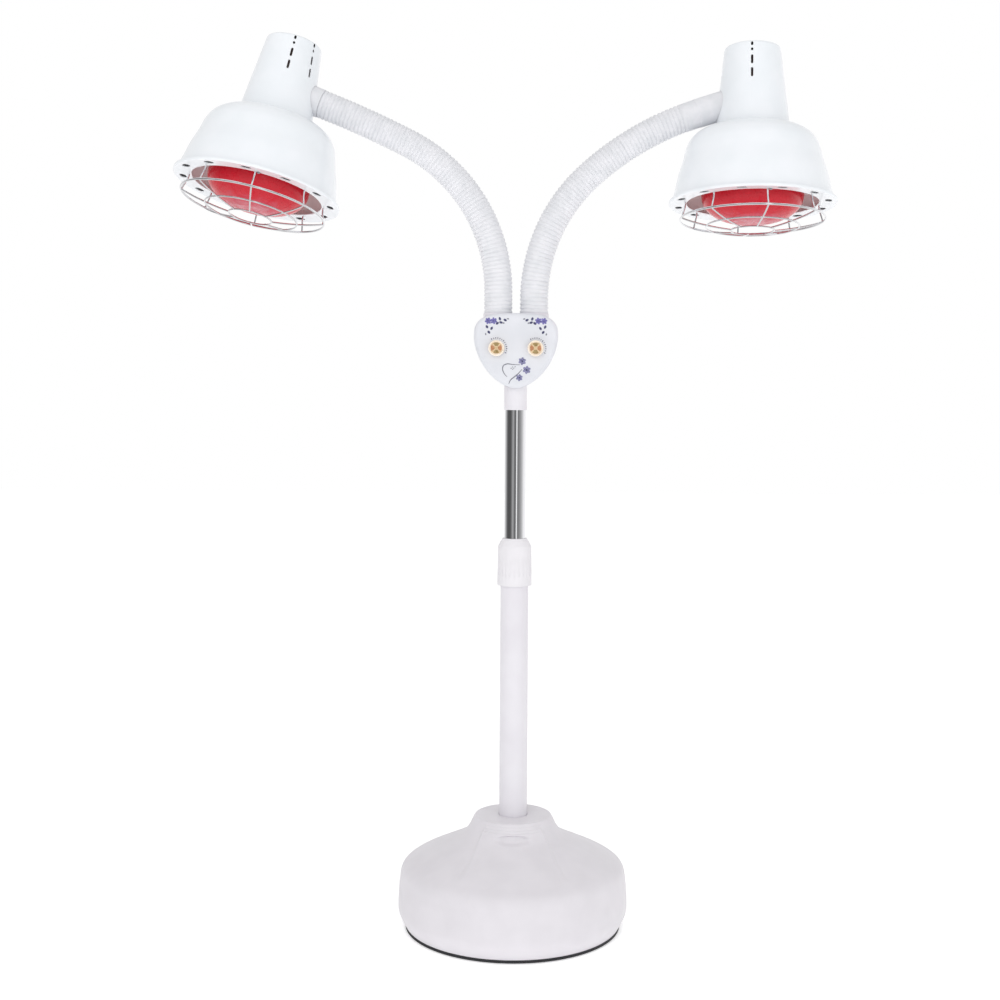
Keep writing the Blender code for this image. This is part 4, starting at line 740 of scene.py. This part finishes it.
def build_print():
    """The print in its four inks."""
    petals, pale, dark, grey = [], [], [], []
    for sign in (-1.0, 1.0):
        for x, up, size, turn in CORNER_FLOWERS:
            petals += flower(on_face(sign * x, up), size * MM, turn)
            dark.append(oval(on_face(sign * x, up), 2.2 * MM, 2.2 * MM, 0.0, 8))
        for x, up, turn in CORNER_LEAVES:
            lean = math.radians(turn) * sign
            dark.append(oval(on_face(sign * x, up), 6.6 * MM, 4.2 * MM, lean, point=0.5))
        for x, up, turn in CORNER_BUDS:
            lean = math.radians(turn) * sign
            grey.append(oval(on_face(sign * x, up), 4.4 * MM, 2.4 * MM, lean, point=0.6))
        for k in range(TICKS):
            turn = math.radians(TICK_START - TICK_STEP * k)
            x = sign * KNOB_X / MM + TICK_RING * math.cos(turn)
            up = (KNOB_Z - BOX_CENTRE) / MM + TICK_RING * math.sin(turn)
            long = 2.6 if k % 3 else 3.4
            (grey if k % 2 else dark).append(oval(on_face(x, up), long * MM, 1.4 * MM, turn, 8))
    for x, up, size in LOWER_FLOWERS:
        pale += flower(on_face(x, up), size * MM, 0.4)
        dark.append(oval(on_face(x, up), size * 0.24 * MM, size * 0.24 * MM, 0.0, 8))
        for k in range(3):
            turn = 0.9 + 2.1 * k
            place = on_face(x + math.cos(turn) * size * 0.3, up + math.sin(turn) * size * 0.3)
            dark.append(oval(place, 2.0 * MM, 1.3 * MM, turn, 8))
    grey.append(stroke([on_face(x, up) for x, up in SHORT_TWIG], 1.9 * MM))
    grey.append(stroke([on_face(x, up) for x, up in LONG_TWIG], 1.7 * MM))
    for x, up in LOWER_SEEDS:
        grey.append(oval(on_face(x, up), 2.2 * MM, 1.6 * MM, 0.3, 8))
    prints = (("print_petals", petals, INDIGO), ("print_pale_petals", pale, VIOLET),
              ("print_lines", grey, GREY_INK), ("print_leaves", dark, NAVY))
    for number, (name, shapes, ink) in enumerate(prints):
        print_on_box(name, shapes, ink, PRINT_STAND + PRINT_STEP * number)


# Goosenecks

# Each neck rises straight, bends over two arcs and runs straight into its head. Sleeve is the smooth
# length outside the cap and plain the length where the ribs end early. Roll and pitch tilt the head, and
# spokes and slots turn the guard and the ring.
SIDE_VALUES = {
    "left": {
        "sign": -1.0, "straight": 0.0390, "arc_one": 0.300, "turn_one": 63.0 * DEGREE,
        "arc_two": 1.700, "turn_two": 5.7 * DEGREE, "run": 0.0796, "sleeve": 0.014,
        "roll": 12.0 * DEGREE, "pitch": 10.0 * DEGREE, "spokes": 7.0 * DEGREE,
        "slots": 0.0, "plain": 0.0,
    },
    "right": {
        "sign": 1.0, "straight": 0.0260, "arc_one": 0.305, "turn_one": 47.0 * DEGREE,
        "arc_two": 0.520, "turn_two": 25.0 * DEGREE, "run": 0.1077, "sleeve": 0.046,
        "roll": 0.5 * DEGREE, "pitch": 5.0 * DEGREE, "spokes": 3.0 * DEGREE,
        "slots": 13.0 * DEGREE, "plain": 18.0 * MM,
    },
}
SECTIONS, NECK_SIDES, NECK_BORE = 5, 48, 0.0215
RIB_PITCH, RIB_ROOT, RIB_CREST = 7.4 * MM, 0.0239, 0.0257
# Height of a rib over one pitch, as a share of root to crest
RIB_SHARES = (0.0, 0.35, 0.85, 1.0, 1.0, 0.85, 0.35)
NECK_RADIUS, NECK_SWING = 0.0256, 18.0 * DEGREE
LIP_SETBACK = NECK_RADIUS * math.tan(NECK_SWING) + 0.3 * MM
HEAD_SOCKET = 0.200
CAP_FOOT_RADIUS, CAP_TOP_RADIUS, CAP_TOP, SHADE_HEIGHT = 0.0671, 0.0506, 0.2880, 0.1404


def neck_path(side, run):
    """Point and direction of the neck's middle line at a distance from the nut's lip."""
    sign = side["sign"]
    point = Vector((sign * NECK_OFFSET, 0.0, NUT_LIP))
    lean = 0.0
    for length, radius in ((side["straight"], None), (side["arc_one"] * side["turn_one"], side["arc_one"]),
                           (side["arc_two"] * side["turn_two"], side["arc_two"]), (math.inf, None)):
        part = min(run, length) if run > 0.0 else run
        if radius is None:
            point = point + Vector((sign * math.sin(lean), 0.0, math.cos(lean))) * part
        else:
            after = lean + part / radius
            point = point + Vector((sign * radius * (math.cos(lean) - math.cos(after)), 0.0,
                                    radius * (math.sin(after) - math.sin(lean))))
            lean = after
        run = run - part
        if run <= 0.0:
            break
    return point, Vector((sign * math.sin(lean), 0.0, math.cos(lean)))


def neck_length(side):
    """Length of the neck's middle line up to the head's joint."""
    arcs = side["arc_one"] * side["turn_one"], side["arc_two"] * side["turn_two"]
    return side["straight"] + arcs[0] + arcs[1] + side["run"]


def cap_radius_at(height):
    """Outside radius of the cap's cone at a height."""
    share = (height - SHADE_HEIGHT) / (CAP_TOP - SHADE_HEIGHT)
    return CAP_FOOT_RADIUS + (CAP_TOP_RADIUS - CAP_FOOT_RADIUS) * share


def ferrule_mouth(side):
    """Distance along the neck where its smooth end sleeve begins."""
    return neck_length(side) - cap_radius_at(HEAD_SOCKET) - side["sleeve"]


def build_neck(hand):
    """One ribbed neck in six sleeves: the first five are made in place on no body, the last rides on the
    neck's last section.
    """
    side = SIDE_VALUES[hand]
    mouth = ferrule_mouth(side)
    step = (mouth - LIP_SETBACK) / SECTIONS
    hinges = [LIP_SETBACK + step * k for k in range(SECTIONS)]
    cuts = [-1.0 * MM] + [run + step / 2.0 for run in hinges] + [mouth + 2.0 * MM]
    ribs = round((mouth - cuts[0]) / RIB_PITCH)
    pitch = (mouth - cuts[0]) / ribs
    samples = len(RIB_SHARES)
    total = ribs * samples

    def ring_at(index, radius):
        point, along = neck_path(side, cuts[0] + pitch * index / samples)
        up = Vector((0.0, 1.0, 0.0))
        across = up.cross(along).normalized()
        turns = [FULL_TURN * i / NECK_SIDES for i in range(NECK_SIDES)]
        return [point + (across * math.cos(turn) + up * math.sin(turn)) * radius for turn in turns]

    def rib_radius(index):
        fade = 1.0
        if side["plain"]:
            fade = smooth((total - side["plain"] / pitch * samples - index) / (2.0 * samples))
        return RIB_CREST - (RIB_CREST - RIB_ROOT) * (1.0 - RIB_SHARES[index % samples]) * fade

    marks = [round((cut - cuts[0]) / pitch * samples) for cut in cuts[:-1]] + [total]
    bodies = ["mast"] + ["neck_%s_%d" % (hand, k + 1) for k in range(SECTIONS)]
    for k in range(SECTIONS + 1):
        first, last = marks[k], marks[k + 1]
        outer = [ring_at(i, rib_radius(i)) for i in range(first, last + 1)]
        inner = [ring_at(i, NECK_BORE) for i in range(last, first - 1, -3)]
        if k == 0:
            inner[-1] = ring_at(first, NECK_BORE)
        bm = bmesh.new()
        skin(bm, outer + inner, True)
        if k < SECTIONS:
            piece = add_piece("sleeve_%s_%d" % (hand, k + 1), bm, VINYL, None, 60.0)
            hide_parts("neck_%s_%d" % (hand, k + 1))
            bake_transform(piece)
        else:
            add_piece("sleeve_%s_%d" % (hand, k + 1), bm, VINYL, bodies[k], 60.0)


# Heads: heights are above the shade's rim

# The end sleeve and the hole for it stop this far before the joint
END_STOP, HOLE_STOP = 0.050, 0.020
END_OUTSIDE, END_BORE, END_HOLE = 0.0262, 0.0222, 0.0268
CAP_EDGE, CAP_WALL = 6.0 * MM, 1.5 * MM
CAP_SLOT_TURNS, CAP_SLOT_FROM, CAP_SLOT_TO = (-80.0, -36.0, 80.0, 180.0), 0.030, 0.075
# Slots from the top down in millimetres: length, and the bridge under it
CAP_SLOTS, CAP_SLOT_WIDTH = ((7.5, 4.0), (5.8, 7.5), (17.0, 7.0), (17.5, 0.0)), 4.2 * MM
SHADE_WALL, SHADE_HOLE = 1.0 * MM, 0.0520
SHADE_OUTLINE = (
    (0.1455, 0.0026), (0.1402, 0.0220), (0.1368, 0.0380), (0.1335, 0.0525), (0.1290, 0.0670),
    (0.1245, 0.0815), (0.1212, 0.0960), (0.1165, 0.1095), (0.1075, 0.1225), (0.0935, 0.1325),
    (0.0770, 0.1385), (0.0674, SHADE_HEIGHT),
)
RING_OUTLINE = (
    (0.1490, -0.2 * MM), (0.1498, 0.3 * MM), (0.1502, 1.2 * MM), (0.1502, 4.2 * MM), (0.1498, 5.0 * MM),
    (0.1490, 5.2 * MM), (0.1481, 4.4 * MM), (0.1474, 2.2 * MM), (0.1460, 1.6 * MM), (0.1190, 3.0 * MM),
    (0.1180, 3.4 * MM), (0.1176, 2.8 * MM), (0.1186, 1.8 * MM), (0.1460, 0.2 * MM),
)
RING_SLOTS, RING_SLOT_RADIUS, RING_SLOT_WIDTH, RING_SLOT_LENGTH = 12, 0.1345, 12.0 * MM, 19.5 * MM
# A dark band inside the bell just above the ring: painted shade seen through its slots
SLOT_SHADE_BAND_OUTLINE = ((0.1440, 2.3 * MM), (0.1436, 3.1 * MM), (0.1260, 3.7 * MM), (0.1260, 3.0 * MM))
BULB_OUTLINE = (
    (0.0001, -0.0336), (0.0170, -0.0332), (0.0330, -0.0318), (0.0480, -0.0285), (0.0610, -0.0236),
    (0.0720, -0.0172), (0.0825, -0.0080), (0.0890, 0.0030), (0.0917, 0.0165), (0.0900, 0.0300),
    (0.0853, 0.0430), (0.0642, 0.0823), (0.0385, 0.1182), (0.0211, 0.1409), (0.0150, 0.1560),
)
BULB_SIDES, BULB_RISE = 96, 0.189
# Rings of the guard: radius, drop under the rim, and the wire's radius in millimetres
GUARD_RINGS = ((0.1295, 0.0270, 2.0), (0.0832, 0.0400, 1.6), (0.0387, 0.0470, 1.6))
GUARD_FOOT, SPOKES, SPOKE_RADIUS, WIRE_SIDES = 0.1215, 8, 1.6 * MM, 10
SPOKE_OUTLINE = (
    (GUARD_FOOT, 1.2 * MM), (0.1226, -0.0080), (0.1268, -0.0225), (0.1274, -0.0262), (0.1250, -0.0290),
    (0.1050, -0.0352), (0.0832, -0.0400), (0.0605, -0.0440), (0.0372, -0.0470),
)
# The guard's screws stand this far beside a spoke
SCREW_ASIDE = 5.5 * MM
SCREW_OUTLINE = (
    (0.0006, 0.0), (0.0022, -0.5 * MM), (0.0030, 0.3 * MM), (0.0032, 1.3 * MM), (0.0014, 1.3 * MM),
    (0.0014, 4.6 * MM),
)


def build_cap(hand, side, body, down, cutter):
    """The slotted cap with its rounded top, its inside and slot walls painted near-black as shade; the
    cutter brings the neck's hole.
    """
    at = cap_radius_at(CAP_TOP - CAP_EDGE)
    foot = SHADE_HEIGHT + 0.3 * MM
    outer = [(CAP_FOOT_RADIUS, foot), (CAP_FOOT_RADIUS - 0.3 * MM, SHADE_HEIGHT + 2.0 * MM)]
    outer += [(at - CAP_EDGE * (1.0 - cosine), CAP_TOP - CAP_EDGE * (1.0 - sine))
              for cosine, sine in quarter_round(8)]
    inner = [(CAP_FOOT_RADIUS - CAP_WALL, foot), (at - CAP_WALL, CAP_TOP - CAP_EDGE),
             (at - CAP_EDGE, CAP_TOP - CAP_WALL)]
    shape = turned(outer[::-1] + inner, SIDES, False, down)
    cap = add_piece("cap_shell_" + hand, shape, ENAMEL, body)
    azimuth = 0.0 if side["sign"] < 0.0 else math.pi
    for turn in CAP_SLOT_TURNS:
        place = down @ Matrix.Rotation(azimuth + math.radians(turn), 4, "Z")
        top = CAP_TOP - 3.2 * MM
        for slot, bridge in CAP_SLOTS:
            middle = Matrix.Translation((0.0, 0.0, top - slot * MM / 2.0))
            prism(cutter, pill(CAP_SLOT_WIDTH, slot * MM, 4), CAP_SLOT_FROM, CAP_SLOT_TO,
                  place @ middle @ UPRIGHT)
            top = top - (slot + bridge) * MM
    carve(cap, cutter)
    # Faces inside the cap's outer surface, its inside and slot walls, take the near-black enamel: painted
    # shade
    cap.data.materials.append(ENAMEL_PAINTED_SHADE)
    upward = down.inverted()
    for polygon in cap.data.polygons:
        centre = upward @ polygon.center
        over = max(centre.z - (CAP_TOP - CAP_EDGE), 0.0)
        outside = min(cap_radius_at(centre.z), at)
        if over:
            outside = at - CAP_EDGE + math.sqrt(max(CAP_EDGE ** 2 - over ** 2, 0.0))
        if math.hypot(centre.x, centre.y) < outside - 0.5 * MM and centre.z < CAP_TOP - 1.0 * MM:
            polygon.material_index = 1
    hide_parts("cap_" + hand)


def build_shade(hand, body, down):
    """The spun bell; its inside is a warmer enamel with a faint glow, painted light."""
    outer = [(p.x, p.y) for p in curve_through(SHADE_OUTLINE, 5)]
    inner = offset_outline(outer, SHADE_WALL)
    inner[0] = (outer[0][0] - SHADE_WALL, outer[0][1])
    roof = SHADE_HEIGHT - SHADE_WALL
    section = outer + [(SHADE_HOLE, SHADE_HEIGHT), (SHADE_HOLE, roof), (inner[-1][0], roof)]
    section += inner[-4::-4] + [inner[0]]
    shade = add_piece("bell_" + hand, turned(section, SIDES, True, down), ENAMEL, body)
    shade.data.materials.append(ENAMEL_INSIDE_PAINTED_LIGHT)
    # Faces of the inner wall take the warmer, glowing enamel: painted light
    first_inner = len(outer) + 1
    for polygon in shade.data.polygons:
        if polygon.index // SIDES >= first_inner:
            polygon.material_index = 1
    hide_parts("shade_" + hand)


def build_ring(hand, side, body, down):
    """The ring under the shade with its oval slots, and a dark band behind them that paints the shade seen
    through the slots.
    """
    ring = add_piece("oval_ring_" + hand, turned(RING_OUTLINE, SIDES, True, down), ENAMEL, body)
    cutter = bmesh.new()
    for place in around(RING_SLOTS, RING_SLOT_RADIUS, 0.0, side["slots"]):
        prism(cutter, pill(RING_SLOT_WIDTH, RING_SLOT_LENGTH, 8), -3.0 * MM, 7.0 * MM, down @ place)
    carve(ring, cutter)
    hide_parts("flange_ring_" + hand)
    add_piece("slot_shade_band_" + hand, turned(SLOT_SHADE_BAND_OUTLINE, SIDES, True, down), RUBBER, body)


def build_bulb(hand, body, down):
    """The reflector bulb, with its rise from the front as a value on the mesh."""
    outline = [(p.x, p.y) for p in curve_through(BULB_OUTLINE, 5)]
    bulb = add_piece("ruby_bulb_" + hand, turned(outline, BULB_SIDES, False, down), RUBY, body)
    rises = bulb.data.attributes.new("rise", "FLOAT", "POINT")
    for i, item in enumerate(rises.data):
        item.value = (outline[i // BULB_SIDES][1] - outline[0][1]) / BULB_RISE
    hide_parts("bulb_glass_" + hand)


def build_guard(hand, side, body, down):
    """The wire guard of three rings and eight spokes, and its two screws."""
    bm = bmesh.new()
    for radius, drop, thick in GUARD_RINGS:
        ring = ring_points(radius, -drop, 96)
        sweep(bm, ring, thick * MM, WIRE_SIDES, True, Vector((0.0, 0.0, 1.0)), down)
    points = curve_through([Vector((radius, 0.0, height)) for radius, height in SPOKE_OUTLINE], 4)
    phase = side["spokes"] - QUARTER_TURN
    for place in around(SPOKES, 0.0, 0.0, phase):
        sweep(bm, points, SPOKE_RADIUS, WIRE_SIDES, False, Vector((0.0, 1.0, 0.0)), down @ place)
    guard = add_piece("wire_cage_" + hand, bm, CHROME, body, 60.0)
    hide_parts("guard_" + hand)
    for i, place in enumerate(around(2, GUARD_FOOT, 0.0, phase + SCREW_ASIDE / GUARD_FOOT)):
        shape = turned(SCREW_OUTLINE, 24, False, down @ place)
        screw = add_piece("cage_screw_%s_%d" % (hand, i + 1), shape, ZINC, body)
        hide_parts("guard_screw_%s_%d" % (hand, i + 1))


def build_head(hand):
    """One head: end sleeve, cap, bell, ring, bulb and guard."""
    side = SIDE_VALUES[hand]
    body = "head_" + hand
    joint, along = neck_path(side, neck_length(side))
    tilt = Matrix.Rotation(side["roll"], 4, "Y") @ Matrix.Rotation(-side["pitch"], 4, "X")
    down = Matrix.Translation(joint) @ tilt @ Matrix.Translation((0.0, 0.0, -HEAD_SOCKET))
    mouth = neck_path(side, ferrule_mouth(side))[0]
    entry = facing(along, mouth)
    length = (joint - mouth).length
    end = length - END_STOP
    shape = turned([(END_OUTSIDE - 0.6 * MM, 0.0), (END_OUTSIDE, 0.6 * MM), (END_OUTSIDE, end),
                    (END_BORE, end), (END_BORE - 0.2 * MM, 0.0)], TUBE_SIDES, True, entry)
    ferrule = add_piece("sleeve_end_" + hand, shape, VINYL, body)
    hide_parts("neck_ferrule_" + hand)
    hole = turned([(END_HOLE, 0.0), (END_HOLE, length - HOLE_STOP)], 48, False, entry)
    build_cap(hand, side, body, down, hole)
    build_shade(hand, body, down)
    build_ring(hand, side, body, down)
    build_bulb(hand, body, down)
    build_guard(hand, side, body, down)


# Camera

LENS, SENSOR, SHIFT = 52.45, 36.0, (-0.0156, -0.1016)
CAMERA_PLACE, CAMERA_ROLL = (0.0, -2.64, 0.95), -0.36 * DEGREE


def build_camera():
    """The camera in front of the lamp, looking level."""
    data = bpy.data.cameras.new("camera")
    camera = new_object("camera", data)
    data.lens = LENS
    data.sensor_width = SENSOR
    data.shift_x, data.shift_y = SHIFT
    data.clip_start, data.clip_end = 0.1, 60.0
    camera.location = CAMERA_PLACE
    camera.rotation_euler = (QUARTER_TURN, CAMERA_ROLL, 0.0)
    bpy.context.scene.camera = camera


# Floor, surroundings and lamps

FLOOR_REACH, FLOOR_DROP, FLOOR_PATCH, FLOOR_GLOW = 12.0, 0.5 * MM, 0.6, 0.34
ROOM_FRONT, ROOM_BACK, ROOM_ABOVE = 0.56, 0.42, 0.42
WHITE = linear("ffffff")
OVERHEAD_GREY = (0.8, 0.8, 0.8, 1.0)
# Upright studio panels: turn in degrees from the front, and brightness
PANELS = (
    (-180.0, 1.10), (-144.0, 0.85), (-115.0, 0.50), (-100.0, 0.22), (-85.0, 0.10), (-50.0, 0.10),
    (-38.0, 0.22), (-22.0, 0.46), (-8.0, 0.20), (3.0, 0.15), (10.0, 0.26), (14.0, 1.20), (19.0, 1.20),
    (23.0, 0.34), (31.0, 0.22), (51.0, 0.32), (63.0, 0.42), (77.0, 0.56), (91.0, 0.78), (108.0, 1.02),
    (130.0, 1.10), (179.0, 1.10),
)
# Soft lamps: name, place and energy
LAMPS = (("key", (-1.6, -3.4, 2.6), 32.0), ("fill", (2.6, -2.8, 1.6), 15.0))
LAMP_AIM, LAMP_SIZE = Vector((0.0, 0.0, 0.9)), 2.4


def build_floor():
    """The plain pale floor just under the foot."""
    bm = bmesh.new()
    bmesh.ops.create_grid(bm, x_segments=1, y_segments=1, size=FLOOR_REACH)
    # Matt white paint: its own faint glow keeps it as pale as the surroundings
    paint_white = surface("pale_floor", ("fbfbfb", "ffffff"), FLOOR_PATCH, Roughness=0.9,
                          Emission_Color=WHITE, Emission_Strength=FLOOR_GLOW)
    floor = add_piece("floor", bm, paint_white)
    floor.location = (0.0, 0.0, -FLOOR_DROP)
    floor.visible_glossy = False


def build_surroundings():
    """White for the camera, soft light from all sides, and panels for what is glossy."""
    world = bpy.data.worlds.new("surroundings")
    bpy.context.scene.world = world
    world.use_nodes = True
    tree = world.node_tree
    tree.nodes.clear()
    path = add_node(tree, "LightPath")
    coordinates = add_node(tree, "TexCoord")
    parts = add_node(tree, "SeparateXYZ", Vector=coordinates.outputs["Generated"])

    # Soft room: brighter in front and above, dimmer behind
    front = add_node(tree, "MapRange", Value=parts.outputs["Y"], From_Min=-1.0, From_Max=0.7,
                     To_Min=ROOM_FRONT, To_Max=ROOM_BACK)
    above = add_node(tree, "MapRange", Value=parts.outputs["Z"], To_Max=ROOM_ABOVE)
    glow = add_node(tree, "Math", {"operation": "ADD"}, in_0=front.outputs["Result"],
                    in_1=above.outputs["Result"])
    room = add_node(tree, "Background", Color=glow.outputs["Value"])

    # Panels, which the chrome mirrors as stripes and which fade to an even grey overhead
    behind = add_node(tree, "Math", {"operation": "MULTIPLY"}, in_0=parts.outputs["Y"], in_1=-1.0)
    azimuth = add_node(tree, "Math", {"operation": "ARCTAN2"}, in_0=parts.outputs["X"],
                       in_1=behind.outputs["Value"])
    place = add_node(tree, "MapRange", Value=azimuth.outputs["Value"], From_Min=-math.pi,
                     From_Max=math.pi)
    stops = [((turn + 180.0) / 360.0, (grey, grey, grey, 1.0)) for turn, grey in PANELS]
    stripes = add_node(tree, "ValToRGB", stops=stops, Fac=place.outputs["Result"])
    height = add_node(tree, "Math", {"operation": "ABSOLUTE"}, in_0=parts.outputs["Z"])
    overhead = add_node(tree, "MapRange", Value=height.outputs["Value"], From_Min=0.3, From_Max=0.6)
    soft = add_node(tree, "Mix", {"data_type": "RGBA"}, Factor=overhead.outputs["Result"],
                    in_6=stripes.outputs["Color"], in_7=OVERHEAD_GREY)
    panels = add_node(tree, "Background", Color=soft.outputs[2])
    lit = add_node(tree, "MixShader", Fac=path.outputs["Is Glossy Ray"],
                   in_1=room.outputs["Background"], in_2=panels.outputs["Background"])
    white = add_node(tree, "Background", Color=WHITE)
    seen = add_node(tree, "MixShader", Fac=path.outputs["Is Camera Ray"], in_1=lit.outputs["Shader"],
                    in_2=white.outputs["Background"])
    add_node(tree, "OutputWorld", Surface=seen.outputs["Shader"])


def build_lamps():
    """Two large soft lamps in front, which don't show in what is glossy."""
    for name, place, energy in LAMPS:
        data = bpy.data.lights.new(name, "AREA")
        data.size = LAMP_SIZE
        data.energy = energy
        lamp = new_object(name, data)
        lamp.visible_glossy = False
        lamp.location = place
        lamp.rotation_euler = (LAMP_AIM - Vector(place)).to_track_quat("-Z", "Y").to_euler()


# The lamp, from the floor up, then what surrounds it

build_base()
build_collar()
build_mast()
build_box()
build_knob(-1.0, "left")
build_knob(1.0, "right")
build_print()
build_neck("left")
build_neck("right")
build_head("left")
build_head("right")
build_camera()
build_floor()
build_surroundings()
build_lamps()
bpy.context.scene.view_settings.view_transform = "Standard"
